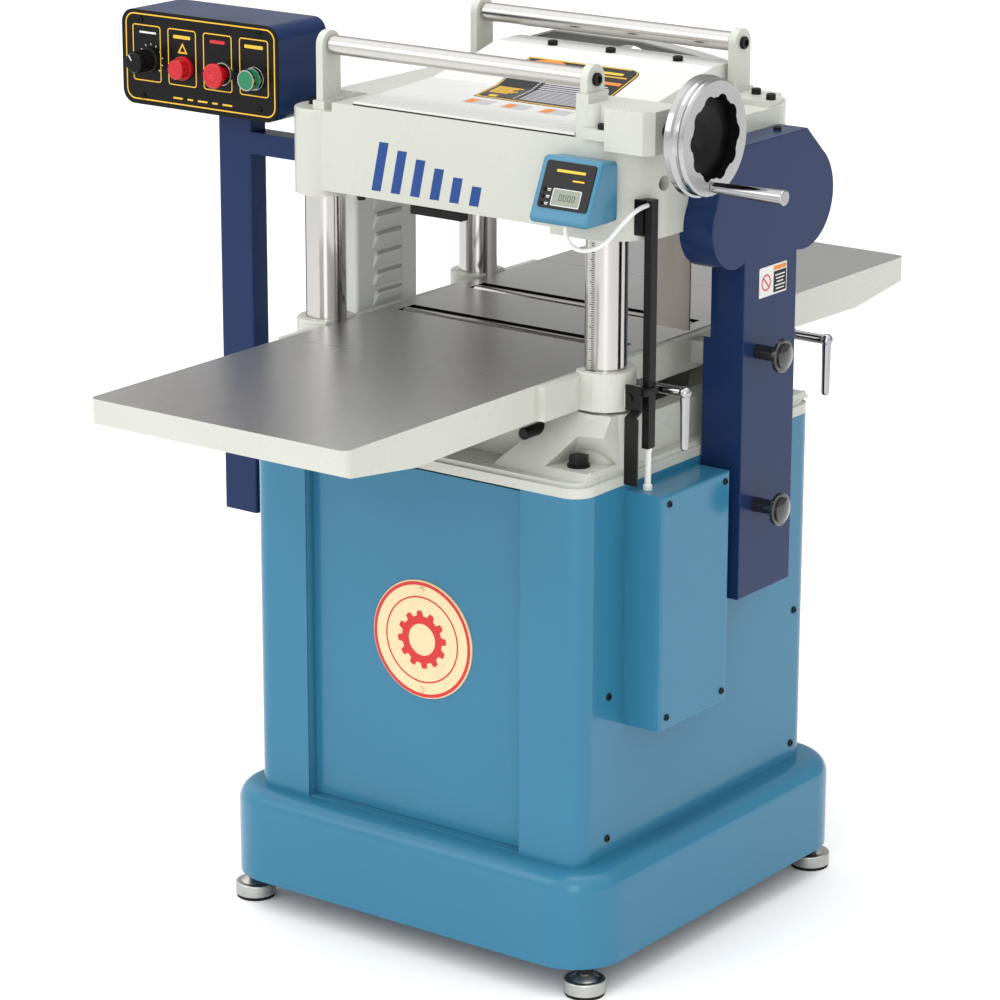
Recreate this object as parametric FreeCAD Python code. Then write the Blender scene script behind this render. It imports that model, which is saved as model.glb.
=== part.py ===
"""Thickness planer: 16-inch class, four-column, moving table, cabinet stand.

Millimetres.  X runs across the table (handwheel and belt guard on +X), Y runs
along the feed (infeed at -Y, outfeed at +Y), Z is up and the feet stand on Z = 0.
Every function builds one named piece in machine coordinates, centred on the four
columns; the export moves all of them so that the origin is the middle of the
bounding box on the floor.
"""
import math
import os

import FreeCAD
import Part

V = FreeCAD.Vector

# ---------------------------------------------------------------- driving dimensions
TABLE_TOP = 816.8          # polished table surface with the table fully down
TABLE_HALF_W = 205.0       # polished half width
RIM_X = 218.0              # painted rim of the table casting
MAIN_HALF_L = 288.0        # half length of the main table
INFEED_END = -673.4
OUTFEED_END = 623.1
TABLE_SKIRT = 770.0        # underside of the table casting

COL_X = 230.2              # the four columns
COL_Y = 171.2
COL_R = 27.7
BOSS_R = 40.0
TABLE_BOSS_TOP = 820.5

CAB_X = 273.0              # cabinet
CAB_Y0 = -285.0
CAB_Y1 = 272.0
CAB_Z0 = 172.0
CAB_Z1 = 674.0
CAB_R = 30.0
BADGE_X = 8.5              # round badge on the front panel
BADGE_Z = 433.0
SHEET = 2.5

PLINTH_X = 314.9
PLINTH_Y = 317.7
PLINTH_Z0 = 42.0
PLINTH_R = 75.0
PLINTH_TOP_R = 26.0
FOOT_X = 281.4
FOOT_Y = 278.5

SEAT_TOP = 766.0           # column seats of the base casting

HEAD_Z0 = 992.0            # underside of the column bosses of the head
HEAD_WALL_Z0 = 1001.0
HEAD_Z1 = 1121.0
HEAD_BOSS_TOP = 1108.0
HEAD_X0 = -250.0
HEAD_X1 = 293.0
HEAD_Y = 205.0
GEAR_Z1 = 1165.0           # top of the bevel-gear housing
GEAR_LEDGE_Z1 = 1135.0     # and of the low ledge in front of its root
FOOT_PLATE_Z1 = 1128.5     # foot plate of the rear right roller bracket

CUT_Y = 22.0               # cutterhead axis
CUT_Z = 1041.0
CUT_R = 38.0
CUT_CIRCLE_R = 40.0
FEED_R = 29.0
FEED_Z = 1028.0
INFEED_ROLLER_Y = -59.0
OUTFEED_ROLLER_Y = 103.0
BED_ROLLER_R = 15.0
BED_ROLLER_RISE = 0.3
SLOT_HALF_X = 182.0
SLOT_HALF_Y = 18.0

RETURN_Z = 1193.0          # return rollers
RETURN_R = 13.0
RETURN_FRONT_Y = -181.0
RETURN_REAR_Y = 158.0

WHEEL_X0 = 366.0           # handwheel
WHEEL_X1 = 393.0
WHEEL_Y = -174.0
WHEEL_Z = 1138.0
WHEEL_R = 76.5
WHEEL_LOBES = 10
HANDLE_Y = -179.0
HANDLE_Z = 1077.0
HANDLE_TIP_X = 500.0

GUARD_X0 = 276.0           # belt guard
GUARD_X1 = 338.0
GUARD_DUCT_Y0 = -14.0
GUARD_DUCT_Y1 = 112.0
GUARD_Z0 = 485.0
GUARD_Z1 = 1097.0
GUARD_HEAD_X0 = 293.3      # back edge of the guard where it lies against the head
GUARD_MID_X0 = 287.0       # and of the duct between the table and the head
GUARD_MID_Z0 = 836.0
KNOB_X = 382.0
KNOB_UPPER = (20.0, 818.0)
KNOB_LOWER = (23.0, 609.0)

MOTOR_Y = 52.0             # main motor and its belt drive
MOTOR_Z = 558.0
MOTOR_X0 = -110.0
MOTOR_X1 = 110.0
MOTOR_PULLEY_R = 44.0
CUT_PULLEY_R = 30.0
BELT_X = (303.0, 314.5, 326.0)
BELT_W = 9.0
BELT_T = 6.0
PULLEY_X0 = 298.0
PULLEY_X1 = 331.0
PULLEY_FLANGE = 2.5

BOX_X0 = -557.0            # control box and its post
BOX_X1 = -282.0
BOX_Y0 = -202.0
BOX_Y1 = -101.0
BOX_Z0 = 1081.0
BOX_Z1 = 1211.0
PLATE_Y = -205.0
POST_X0 = -418.0
POST_X1 = -360.0
POST_Y0 = -170.0
POST_Y1 = -136.0
POST_Z0 = 516.0
CONTROL_Z = 1139.0
KNOB_CTRL = (-505.0, 1145.0)
LAMP_X = -446.0
STOP_X = -375.0
START_X = -319.0

EBOX_X1 = 331.0            # electrical box on the cabinet side
EBOX_Y0 = -185.0
EBOX_Y1 = -28.0
EBOX_Z0 = 347.0
EBOX_Z1 = 666.0
GLAND_X = 302.0
GLAND_Z = 385.0

DRO_X0 = 177.0             # digital readout housing
DRO_X1 = 268.0
DRO_Y_BACK = -205.0
DRO_Y_TOP = -237.0
DRO_Y_FOOT = -273.0
DRO_Z0 = 1021.0
DRO_Z1 = 1102.0

BAR_X0 = 288.0             # linear scale bar of the readout
BAR_X1 = 299.0
BAR_Y0 = -173.0
BAR_Y1 = -157.0
BAR_Z0 = 722.0
BAR_Z1 = 1046.0

SHAFT_X = 258.0            # vertical drive shaft of the table lift
SHAFT_Y = 60.0
SHAFT_R = 8.0

LEVER_X = 335.0            # table lock levers, offset from their columns
LEVER_Z = 797.0
LEVER_OFFSET_Y = 27.0
LIFT_BAR_X = 165.0
LIFT_BAR_Z = 740.0
LIFT_BAR_R = 8.0

SPROCKET_X = 150.0         # the two rotating nuts that carry the lift screws
SCREW_R = 12.0
SCREW_Z0 = 500.0
CHAIN_LOW_Z = 653.0
CHAIN_HIGH_Z = 662.0
CHAIN_H = 4.0
CHAIN_PITCH_R = 36.0

CABLE_R = 3.0

SHIFT_X = -(BOX_X0 + HANDLE_TIP_X) / 2.0
SHIFT_Y = -(INFEED_END + OUTFEED_END) / 2.0

X_AXIS = V(1, 0, 0)
Y_AXIS = V(0, 1, 0)
Z_AXIS = V(0, 0, 1)


# ---------------------------------------------------------------- small helpers
def box(x0, x1, y0, y1, z0, z1):
    return Part.makeBox(x1 - x0, y1 - y0, z1 - z0, V(x0, y0, z0))


def cyl(x, y, z, r, h, axis=Z_AXIS):
    return Part.makeCylinder(r, h, V(x, y, z), axis)


def ring(x, y, z, r_out, r_in, h, axis=Z_AXIS):
    return cyl(x, y, z, r_out, h, axis).cut(cyl(x, y, z, r_in, h, axis))


def hex_prism(x, y, z, across_flats, h, axis=Z_AXIS):
    r = across_flats / math.sqrt(3.0)
    pts = [V(r * math.cos(math.pi * k / 3), r * math.sin(math.pi * k / 3), 0) for k in range(6)]
    solid = Part.Face(Part.makePolygon(pts + [pts[0]])).extrude(V(0, 0, h))
    solid.Placement = FreeCAD.Placement(V(x, y, z), FreeCAD.Rotation(Z_AXIS, axis))
    return solid


def prism_x(points, x0, x1):
    """Polygon of (y, z) points, extruded from x0 to x1."""
    pts = [V(x0, y, z) for y, z in points]
    return Part.Face(Part.makePolygon(pts + [pts[0]])).extrude(V(x1 - x0, 0, 0))


def prism_y(points, y0, y1):
    """Polygon of (x, z) points, extruded from y0 to y1."""
    pts = [V(x, y0, z) for x, z in points]
    return Part.Face(Part.makePolygon(pts + [pts[0]])).extrude(V(0, y1 - y0, 0))


def vertical_edges(shape, keep=lambda p: True):
    found = []
    for edge in shape.Edges:
        if len(edge.Vertexes) != 2:
            continue
        a, b = edge.Vertexes[0].Point, edge.Vertexes[1].Point
        if abs(a.x - b.x) < 0.01 and abs(a.y - b.y) < 0.01 and keep(a):
            found.append(edge)
    return found


def edges_at_z(shape, z):
    return [e for e in shape.Edges if all(abs(v.Point.z - z) < 0.01 for v in e.Vertexes)]


def edges_at_y(shape, y):
    return [e for e in shape.Edges if all(abs(v.Point.y - y) < 0.01 for v in e.Vertexes)]


def edges_at_x(shape, x):
    return [e for e in shape.Edges if all(abs(v.Point.x - x) < 0.01 for v in e.Vertexes)]


def rounded_block(x0, x1, y0, y1, z0, z1, r):
    block = box(x0, x1, y0, y1, z0, z1)
    return block.makeFillet(r, vertical_edges(block))


def fuse(first, *others):
    return first.multiFuse(list(others)).removeSplitter()


def loft(bottom, top, z0, z1):
    """Solid between two rectangles given as (x0, x1, y0, y1)."""
    wires = []
    for (x0, x1, y0, y1), z in ((bottom, z0), (top, z1)):
        corners = [V(x0, y0, z), V(x1, y0, z), V(x1, y1, z), V(x0, y1, z)]
        wires.append(Part.makePolygon(corners + [corners[0]]))
    return Part.makeLoft(wires, True, True)


def corners(x, y):
    return [(-x, -y), (x, -y), (-x, y), (x, y)]


def cap_screw(x, y, z, r, h, axis=Z_AXIS):
    """Socket-head screw seen from outside: head with a hexagon socket."""
    head = cyl(x, y, z, r, h, axis)
    rims = [e for e in head.Edges if isinstance(e.Curve, Part.Circle)]
    top = max(rims, key=lambda e: e.CenterOfMass.dot(axis))
    head = head.makeChamfer(r * 0.15, [top])
    start = V(x, y, z) + axis * (h * 0.45)
    return head.cut(hex_prism(start.x, start.y, start.z, r * 1.0, h, axis))


# ---------------------------------------------------------------- stand
def stand_plinth():
    body = rounded_block(-PLINTH_X, PLINTH_X, -PLINTH_Y, PLINTH_Y, PLINTH_Z0, CAB_Z0, PLINTH_R)
    body = body.makeFillet(PLINTH_TOP_R, edges_at_z(body, CAB_Z0))
    hollow = rounded_block(-PLINTH_X + 4, PLINTH_X - 4, -PLINTH_Y + 4, PLINTH_Y - 4,
                           PLINTH_Z0 - 1, CAB_Z0 - 4, PLINTH_R - 4)
    hollow = hollow.makeFillet(PLINTH_TOP_R - 4, edges_at_z(hollow, CAB_Z0 - 4))
    body = body.cut(hollow)
    for x, y in corners(FOOT_X, FOOT_Y):
        plate = box(x - 40, x + 40, y - 40, y + 40, 50.0, 56.0)
        plate = fuse(plate, box(x - 40, x + 40, y - 3, y + 3, 56.0, CAB_Z0 - 3))
        plate = plate.cut(cyl(x, y, 40.0, 26.0, 200.0))
        plate = fuse(plate, ring(x, y, 50.0, 26.5, 8.2, 6.0))
        edge = rounded_block(-PLINTH_X + 3.9, PLINTH_X - 3.9, -PLINTH_Y + 3.9, PLINTH_Y - 3.9,
                             40.0, CAB_Z0, PLINTH_R - 3.9)
        body = fuse(body, plate.common(edge))
    return body


def levelling_feet():
    feet = []
    for x, y in corners(FOOT_X, FOOT_Y):
        cup = cyl(x, y, 5.0, 28.0, 17.0)
        cup = cup.makeFillet(2.5, edges_at_z(cup, 22.0))
        cone = Part.makeCone(20.0, 11.0, 6.0, V(x, y, 22.0))
        stem = cyl(x, y, 24.0, 8.0, 56.0)
        nut_low = hex_prism(x, y, 31.0, 24.0, 9.0)
        nut_top = hex_prism(x, y, 56.0, 24.0, 10.0)
        feet.append(fuse(cup, cone, stem, nut_low, nut_top))
    return Part.makeCompound(feet)


def feet_soles():
    return Part.makeCompound([cyl(x, y, 0.0, 26.5, 5.0) for x, y in corners(FOOT_X, FOOT_Y)])


def cabinet_body():
    outer = rounded_block(-CAB_X, CAB_X, CAB_Y0, CAB_Y1, CAB_Z0, CAB_Z1, CAB_R)
    inner = rounded_block(-CAB_X + SHEET, CAB_X - SHEET, CAB_Y0 + SHEET, CAB_Y1 - SHEET,
                          CAB_Z0 + SHEET, CAB_Z1 + 1, CAB_R - SHEET)
    shell = outer.cut(inner)
    opening = box(-178.0, 178.0, CAB_Y0 - 1, CAB_Y0 + SHEET + 1, CAB_Z0 - 1, CAB_Z1 + 1)
    shell = shell.cut(opening)
    for side in (-1, 1):
        x0, x1 = sorted((side * 178.0, side * 200.0))
        post = box(x0, x1, CAB_Y0, CAB_Y0 + 26.0, CAB_Z0, CAB_Z1)
        inner_edge = vertical_edges(post, lambda p: abs(p.y - CAB_Y0) < 0.1 and abs(p.x - side * 178.0) < 0.1)
        post = post.makeFillet(13.0, inner_edge)
        shell = fuse(shell, post)
    for y in (-230.0, 230.0):
        shell = fuse(shell, box(-CAB_X + 2, CAB_X - 2, y - 14, y + 14, CAB_Z1 - 6, CAB_Z1))
    shaft_way = cyl(CAB_X - 5, MOTOR_Y, MOTOR_Z, 30.0, 10.0, X_AXIS)
    return shell.cut(shaft_way)


def cabinet_front_panel():
    return box(-177.5, 177.5, CAB_Y0 + 16.0, CAB_Y0 + 19.0, CAB_Z0 + SHEET + 0.5, CAB_Z1 - 8.0)


def badge():
    plate = cyl(BADGE_X, CAB_Y0 + 16.0, BADGE_Z, 82.0, 3.0, V(0, -1, 0))
    plate = plate.makeFillet(2.0, edges_at_y(plate, CAB_Y0 + 13.0))
    rivets = []
    for z in (BADGE_Z - 70.0, BADGE_Z + 70.0):
        head = Part.makeSphere(4.0, V(BADGE_X, CAB_Y0 + 13.0, z))
        rivets.append(head.common(box(BADGE_X - 10, BADGE_X + 10, CAB_Y0, CAB_Y0 + 13.0, z - 10, z + 10)))
    return Part.makeCompound([plate] + rivets)


def electrical_box():
    outer = box(CAB_X, EBOX_X1, EBOX_Y0, EBOX_Y1, EBOX_Z0, EBOX_Z1)
    front = [e for e in outer.Edges if all(abs(v.Point.x - EBOX_X1) < 0.01 for v in e.Vertexes)]
    outer = outer.makeFillet(3.0, front)
    inner = box(CAB_X - 1, EBOX_X1 - 2.5, EBOX_Y0 + 2.5, EBOX_Y1 - 2.5, EBOX_Z0 + 2.5, EBOX_Z1 - 2.5)
    shell = outer.cut(inner)
    gland = fuse(hex_prism(GLAND_X, EBOX_Y1, GLAND_Z, 27.0, 8.0, Y_AXIS),
                 cyl(GLAND_X, EBOX_Y1 + 8.0, GLAND_Z, 11.0, 12.0, Y_AXIS))
    shell = fuse(shell, gland)
    return shell.cut(cyl(GLAND_X, EBOX_Y1 - 10.0, GLAND_Z, 5.5, 40.0, Y_AXIS))


# ---------------------------------------------------------------- base and columns
def corner_recess(sx, sy):
    """Three-sided hollow above a corner bolt; its two walls meet in a line that leans outwards."""
    wires = []
    for (ax, ay), (bx, by), (cx, cy), z in (((203, 203), (330, 190), (190, 330), 702.0),
                                            ((236, 236), (345, 226), (226, 345), 754.0)):
        pts = [V(sx * ax, sy * ay, z), V(sx * bx, sy * by, z), V(sx * cx, sy * cy, z)]
        wires.append(Part.makePolygon(pts + [pts[0]]))
    return Part.makeLoft(wires, True, True)


def base_casting():
    flange = rounded_block(-CAB_X, CAB_X, CAB_Y0, CAB_Y1, CAB_Z1, 687.0, 30.0)
    lip = rounded_block(-CAB_X + 5, CAB_X - 5, CAB_Y0 + 5, CAB_Y1 - 5, 687.0, 693.0, 27.0)
    body = fuse(flange, lip)
    for x, y in corners(1, 1):
        foot = sorted((x * 118.0, x * (CAB_X - 6))) + sorted((y * 118.0, y * 266.0))
        head = sorted((x * 186.0, x * (CAB_X - 9))) + sorted((y * 140.0, y * 206.0))
        body = fuse(body, loft(foot, head, 692.0, SEAT_TOP))
    for y in (-205.0, 205.0):
        body = fuse(body, box(-180.0, 180.0, y - 14, y + 14, 692.0, 756.0))
    for x in (-238.0, 238.0):
        body = fuse(body, box(x - 14, x + 14, -150.0, 150.0, 692.0, 748.0))
    body = fuse(body, box(-231.0, 231.0, -30.0, 30.0, 692.0, 712.0))
    for x, y in corners(232.0, 232.0):
        body = fuse(body, box(x - 26, x + 26, y - 26, y + 26, 692.0, 702.0))
        body = body.cut(corner_recess(math.copysign(1, x), math.copysign(1, y)))
    for x, y in corners(COL_X, COL_Y):
        body = fuse(body, cyl(x, y, 692.0, BOSS_R, SEAT_TOP - 692.0))
    inner = box(-160.0, 160.0, -185.0, -40.0, CAB_Z1 - 1, 760.0)
    inner_back = box(-160.0, 160.0, 40.0, 185.0, CAB_Z1 - 1, 760.0)
    body = body.cut(inner).cut(inner_back)
    for x, y in corners(COL_X, COL_Y):
        body = body.cut(cyl(x, y, CAB_Z1 + 6.0, COL_R + 0.05, 200.0))
    for x in (-LIFT_BAR_X, LIFT_BAR_X):
        body = fuse(body, cyl(x, -185.0, LIFT_BAR_Z, 15.0, 35.0, V(0, -1, 0)))
        body = body.cut(cyl(x, -90.0, LIFT_BAR_Z, LIFT_BAR_R + 0.06, 200.0, V(0, -1, 0)))
        body = body.cut(cyl(x, -95.0, LIFT_BAR_Z, 12.5, 88.0, V(0, -1, 0)))
    for side in (-1, 1):
        body = body.cut(cyl(side * SPROCKET_X, 0.0, CAB_Z1 - 1, 20.05, 60.0))
    return body.cut(cyl(SHAFT_X, SHAFT_Y, CAB_Z1 - 1, SHAFT_R + 0.06, 200.0))


def guide_columns():
    posts = []
    for x, y in corners(COL_X, COL_Y):
        top = HEAD_BOSS_TOP - 12.0
        post = cyl(x, y, CAB_Z1 + 6.0, COL_R, top - CAB_Z1 - 6.0)
        posts.append(post)
    return Part.makeCompound(posts)


def lifting_bar(x, side):
    start = side * 100.0
    end = side * 262.0
    bar = cyl(x, start, LIFT_BAR_Z, LIFT_BAR_R, abs(end - start), V(0, side, 0))
    bar = bar.makeChamfer(1.5, edges_at_y(bar, end))
    stop = cyl(x, side * 100.0, LIFT_BAR_Z, 12.0, 6.0, V(0, side, 0))
    return fuse(bar, stop)


def elevation_screws():
    """Two screws fixed under the table; they rise through the turning nuts."""
    screws = []
    top = TABLE_TOP - 28.0
    for side in (-1, 1):
        x = side * SPROCKET_X
        rod = cyl(x, 0.0, SCREW_Z0, SCREW_R, top - SCREW_Z0)
        flange = cyl(x, 0.0, top - 6.0, 26.0, 6.0)
        screws.append(fuse(rod, flange))
    return Part.makeCompound(screws)


def toothed_wheel(x, z, h):
    wheel = cyl(x, 0.0, z, CHAIN_PITCH_R - 2.0, h)
    teeth = 18
    for k in range(teeth):
        angle = 2.0 * math.pi * k / teeth
        gap_x = x + CHAIN_PITCH_R * math.cos(angle)
        gap_y = CHAIN_PITCH_R * math.sin(angle)
        wheel = wheel.cut(cyl(gap_x, gap_y, z - 1.0, 4.0, h + 2.0))
    return wheel


def sprocket_nut(side):
    x = side * SPROCKET_X
    hub = cyl(x, 0.0, CHAIN_LOW_Z - 3.0, 20.0, 62.0)
    collar = cyl(x, 0.0, CHAIN_HIGH_Z, 28.0, CAB_Z1 - 0.1 - CHAIN_HIGH_Z)
    body = fuse(hub, collar, toothed_wheel(x, CHAIN_HIGH_Z, CHAIN_H))
    if side > 0:
        body = fuse(body, toothed_wheel(x, CHAIN_LOW_Z, CHAIN_H))
    return body.cut(cyl(x, 0.0, 600.0, SCREW_R + 0.06, 200.0))


def chain_loop(end_a, end_b, z):
    """Flat band round two circles given as (x, y, inner radius)."""
    def filled(grow, z0, h):
        (xa, ya, ra), (xb, yb, rb) = end_a, end_b
        ra, rb = ra + grow, rb + grow
        length = math.hypot(xb - xa, yb - ya)
        heading = math.atan2(yb - ya, xb - xa)
        lean = math.acos((ra - rb) / length)
        quad = []
        for sign in (1, -1):
            a = heading + sign * lean
            quad.append(V(xa + ra * math.cos(a), ya + ra * math.sin(a), z0))
            quad.append(V(xb + rb * math.cos(a), yb + rb * math.sin(a), z0))
        pts = [quad[0], quad[1], quad[3], quad[2]]
        web = Part.Face(Part.makePolygon(pts + [pts[0]])).extrude(V(0, 0, h))
        return fuse(web, cyl(xa, ya, z0, ra, h), cyl(xb, yb, z0, rb, h))
    return filled(3.0, z, CHAIN_H).cut(filled(0.0, z - 1.0, CHAIN_H + 2.0))


def elevation_chains():
    wheel_r = CHAIN_PITCH_R - 1.6
    main_loop = chain_loop((-SPROCKET_X, 0.0, wheel_r), (SPROCKET_X, 0.0, wheel_r), CHAIN_HIGH_Z)
    drive_loop = chain_loop((SPROCKET_X, 0.0, wheel_r), (SHAFT_X, SHAFT_Y, SHAFT_R + 0.4), CHAIN_LOW_Z)
    return Part.makeCompound([main_loop, drive_loop])


def elevation_drive_shaft():
    return cyl(SHAFT_X, SHAFT_Y, CHAIN_LOW_Z - 5.0, SHAFT_R, 1012.0 - CHAIN_LOW_Z + 5.0)


# ---------------------------------------------------------------- table
def table_section(y0, y1):
    top = box(-RIM_X, RIM_X, y0, y1, TABLE_TOP - 14.0, TABLE_TOP - 1.5)
    polished = box(-TABLE_HALF_W, TABLE_HALF_W, y0, y1, TABLE_TOP - 2.0, TABLE_TOP)
    return fuse(top, polished)


def table_casting():
    y0, y1 = -MAIN_HALF_L, MAIN_HALF_L
    body = table_section(y0, y1)
    for side in (-1, 1):
        xa, xb = sorted((side * 186.0, side * RIM_X))
        body = fuse(body, box(xa, xb, y0, y1, TABLE_SKIRT, TABLE_TOP - 10.0))
    for ya, yb in ((y0, y0 + 14.0), (y1 - 14.0, y1), (-14.0, 14.0)):
        body = fuse(body, box(-187.0, 187.0, ya, yb, TABLE_SKIRT + 4.0, TABLE_TOP - 10.0))
    for x, y in corners(COL_X, COL_Y):
        boss = cyl(x, y, TABLE_SKIRT, BOSS_R, TABLE_BOSS_TOP - TABLE_SKIRT)
        boss = boss.makeFillet(3.0, edges_at_z(boss, TABLE_BOSS_TOP))
        xa, xb = sorted((math.copysign(RIM_X - 20, x), math.copysign(COL_X + 6, x)))
        web = box(xa, xb, y - BOSS_R, y + BOSS_R, TABLE_SKIRT, TABLE_TOP - 3.0)
        polished_side = box(-TABLE_HALF_W - 1, TABLE_HALF_W + 1, y - 60, y + 60, TABLE_TOP, 900.0)
        body = fuse(body, boss, web).cut(polished_side)
    for x, y in corners(COL_X, COL_Y):
        body = body.cut(cyl(x, y, 700.0, COL_R + 0.08, 200.0))
    ruler_way = box(COL_X - 12.0, COL_X + 4.0, -COL_Y - COL_R - 3.0, -COL_Y - 20.0, 700.0, 900.0)
    body = body.cut(ruler_way)
    lug = box(COL_X + 10.0, 284.0, -184.0, -160.0, 775.0, 800.0)
    lug = lug.cut(cyl(COL_X, -COL_Y, 700.0, COL_R + 4.0, 200.0))
    pad = box(RIM_X - 10.0, SHAFT_X + 12.0, SHAFT_Y - 15.0, SHAFT_Y + 15.0, 780.0, 810.0)
    collar = cyl(SHAFT_X, SHAFT_Y, 810.0, 12.0, 8.0)
    body = fuse(body, lug, pad, collar).cut(cyl(SHAFT_X, SHAFT_Y, 700.0, SHAFT_R + 0.4, 200.0))
    for y in (INFEED_ROLLER_Y, OUTFEED_ROLLER_Y):
        slot = box(-SLOT_HALF_X, SLOT_HALF_X, y - SLOT_HALF_Y, y + SLOT_HALF_Y, 700.0, 900.0)
        body = body.cut(slot)
        axle_z = TABLE_TOP + BED_ROLLER_RISE - BED_ROLLER_R
        for side in (-1, 1):
            cheek = sorted((side * SLOT_HALF_X, side * 190.0))
            body = fuse(body, box(cheek[0], cheek[1], y - 18, y + 18, TABLE_SKIRT + 6, TABLE_TOP - 2))
            body = body.cut(cyl(side * 180.0, y, axle_z, 8.06, 22.0, V(side, 0, 0)))
    for y in (-COL_Y, COL_Y):
        body = body.cut(cyl(COL_X + 19.0, y + LEVER_OFFSET_Y, LEVER_Z, 6.56, 60.0, X_AXIS))
    for side in (-1, 1):
        body = body.cut(cyl(side * SPROCKET_X, 0.0, 700.0, 27.0, TABLE_TOP - 28.0 - 700.0))
    return body


def extension(y_seam, y_end):
    """Bolt-on table wing: flat top, tapering skirt and ribs."""
    s = 1 if y_end > y_seam else -1
    profile = [(y_seam, TABLE_TOP), (y_end, TABLE_TOP), (y_end, TABLE_TOP - 32.0),
               (y_end - s * 8.0, TABLE_TOP - 35.0), (y_end - s * 135.0, TABLE_SKIRT - 4.0),
               (y_seam, TABLE_SKIRT)]
    body = prism_x(profile, -TABLE_HALF_W, TABLE_HALF_W)
    far = vertical_edges(body, lambda p: abs(p.y - y_end) < 0.1)
    body = body.makeFillet(12.0, far)
    pockets = []
    length = abs(y_end - y_seam)
    step = (length - 30.0) / 3.0
    for k in range(3):
        ya = y_seam + s * (12.0 + k * step)
        yb = ya + s * (step - 10.0)
        lo, hi = sorted((ya, yb))
        for xa, xb in ((-195.0, -6.0), (6.0, 195.0)):
            pockets.append(box(xa, xb, lo, hi, 700.0, TABLE_TOP - 13.0))
    for pocket in pockets:
        body = body.cut(pocket)
    return body


def bed_roller(y):
    z = TABLE_TOP + BED_ROLLER_RISE - BED_ROLLER_R
    roll = cyl(-180.5, y, z, BED_ROLLER_R, 361.0, X_AXIS)
    journal = cyl(-196.0, y, z, 8.0, 392.0, X_AXIS)
    return fuse(roll, journal)


def lock_lever(column_y):
    """Clamp lever: shaft through the column boss and a hanging arm."""
    y = column_y + LEVER_OFFSET_Y
    shaft = cyl(COL_X + 20.0, y, LEVER_Z, 6.5, LEVER_X - COL_X - 20.0, X_AXIS)
    collar = cyl(COL_X + 37.0, y, LEVER_Z, 9.0, 15.0, X_AXIS)
    head = Part.makeSphere(8.5, V(LEVER_X, y, LEVER_Z))
    arm = Part.makeCone(5.5, 6.5, 72.0, V(LEVER_X, y, LEVER_Z - 72.0))
    tip = Part.makeSphere(5.5, V(LEVER_X, y, LEVER_Z - 72.0))
    return fuse(shaft, collar, head, arm, tip)


# ---------------------------------------------------------------- head
def head_outline(z0, z1):
    block = box(HEAD_X0, HEAD_X1, -HEAD_Y, HEAD_Y, z0, z1)
    right = vertical_edges(block, lambda p: p.x > 0)
    left = vertical_edges(block, lambda p: p.x < 0)
    return block.makeFillet(80.0, right).makeFillet(12.0, left)


def head_casting():
    body = head_outline(HEAD_WALL_Z0, HEAD_Z1)
    low_right = head_outline(HEAD_Z0, HEAD_WALL_Z0 + 1).common(
        box(165.0, 400.0, -400.0, 400.0, 900.0, 1200.0))
    body = fuse(body, low_right)
    for x, y in corners(COL_X, COL_Y):
        if x < 0:
            near, far = sorted((math.copysign(125.0, y), y * 3.0))
            step = box(HEAD_X0 - 30, x + 40.2, near, far, HEAD_BOSS_TOP, 1300.0)
            body = body.cut(step)
            boss = cyl(x, y, HEAD_Z0, BOSS_R, HEAD_BOSS_TOP - HEAD_Z0)
            boss = boss.makeFillet(3.0, edges_at_z(boss, HEAD_BOSS_TOP))
            body = fuse(body, boss)
    arm_pad = box(-271.0, HEAD_X0 + 5, POST_Y0, POST_Y0 + 34.0, 1020.0, 1062.0)
    body = fuse(body, arm_pad)
    cavity = box(-205.0, 215.0, -160.0, 160.0, 900.0, 1085.0)
    body = body.cut(cavity)
    body = body.cut(box(-145.0, 190.0, -150.0, 150.0, 1080.0, 1200.0))
    body = body.cut(box(-140.0, 140.0, 150.0, HEAD_Y + 1.0, 1062.0, 1084.0))
    for x, y in corners(COL_X, COL_Y):
        body = body.cut(cyl(x, y, 900.0, COL_R + 0.05, HEAD_BOSS_TOP - 12.0 - 900.0))
    body = body.cut(cyl(-242.0, CUT_Y, CUT_Z, 15.06, 600.0, X_AXIS))
    for y in (INFEED_ROLLER_Y, OUTFEED_ROLLER_Y):
        body = body.cut(cyl(-240.0, y, FEED_Z, 10.06, 500.0, X_AXIS))
    body = body.cut(cyl(-216.0, -118.0, 1040.0, 6.0, 442.0, X_AXIS))
    recess = cyl(250.0, -135.0, 1062.0, 10.0, 60.0, X_AXIS)
    body = body.cut(recess)
    body = body.cut(cyl(SHAFT_X, SHAFT_Y, 900.0, SHAFT_R + 0.06, 113.0))
    return body


COVER_X0 = -155.0
COVER_X1 = 200.0
COVER_LINE = [(-203.0, 1126.0), (-31.0, 1134.0), (69.0, 1154.0), (113.0, 1165.0), (168.0, 1164.6)]


def top_cover():
    """Sheet cover: flat at the front, swept up at the back over the chip chute."""
    outer = [(-203.0, HEAD_Z1)] + COVER_LINE + [(172.0, HEAD_Z1)]
    inner = [(y, z - 2.2) for y, z in COVER_LINE]
    inner = [(-200.5, HEAD_Z1 - 2.0)] + [(-200.5, inner[0][1])] + inner[1:-1]
    inner += [(166.0, COVER_LINE[-1][1] - 2.2), (169.5, HEAD_Z1 - 2.0)]
    body = prism_x(outer, COVER_X0, COVER_X1)
    return body.cut(prism_x(inner, COVER_X0 + 2.5, COVER_X1 - 2.5))


HOOD_LINE = [(-187.0, 1052.0), (-187.0, 1150.0), (-127.0, 1169.0), (24.0, 1168.0), (106.0, 1159.0),
             (162.0, 1150.0), (162.0, 1052.0)]
HOOD_PORT = (-12.0, 1108.0)
HOOD_PORT_R = 50.0


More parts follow.
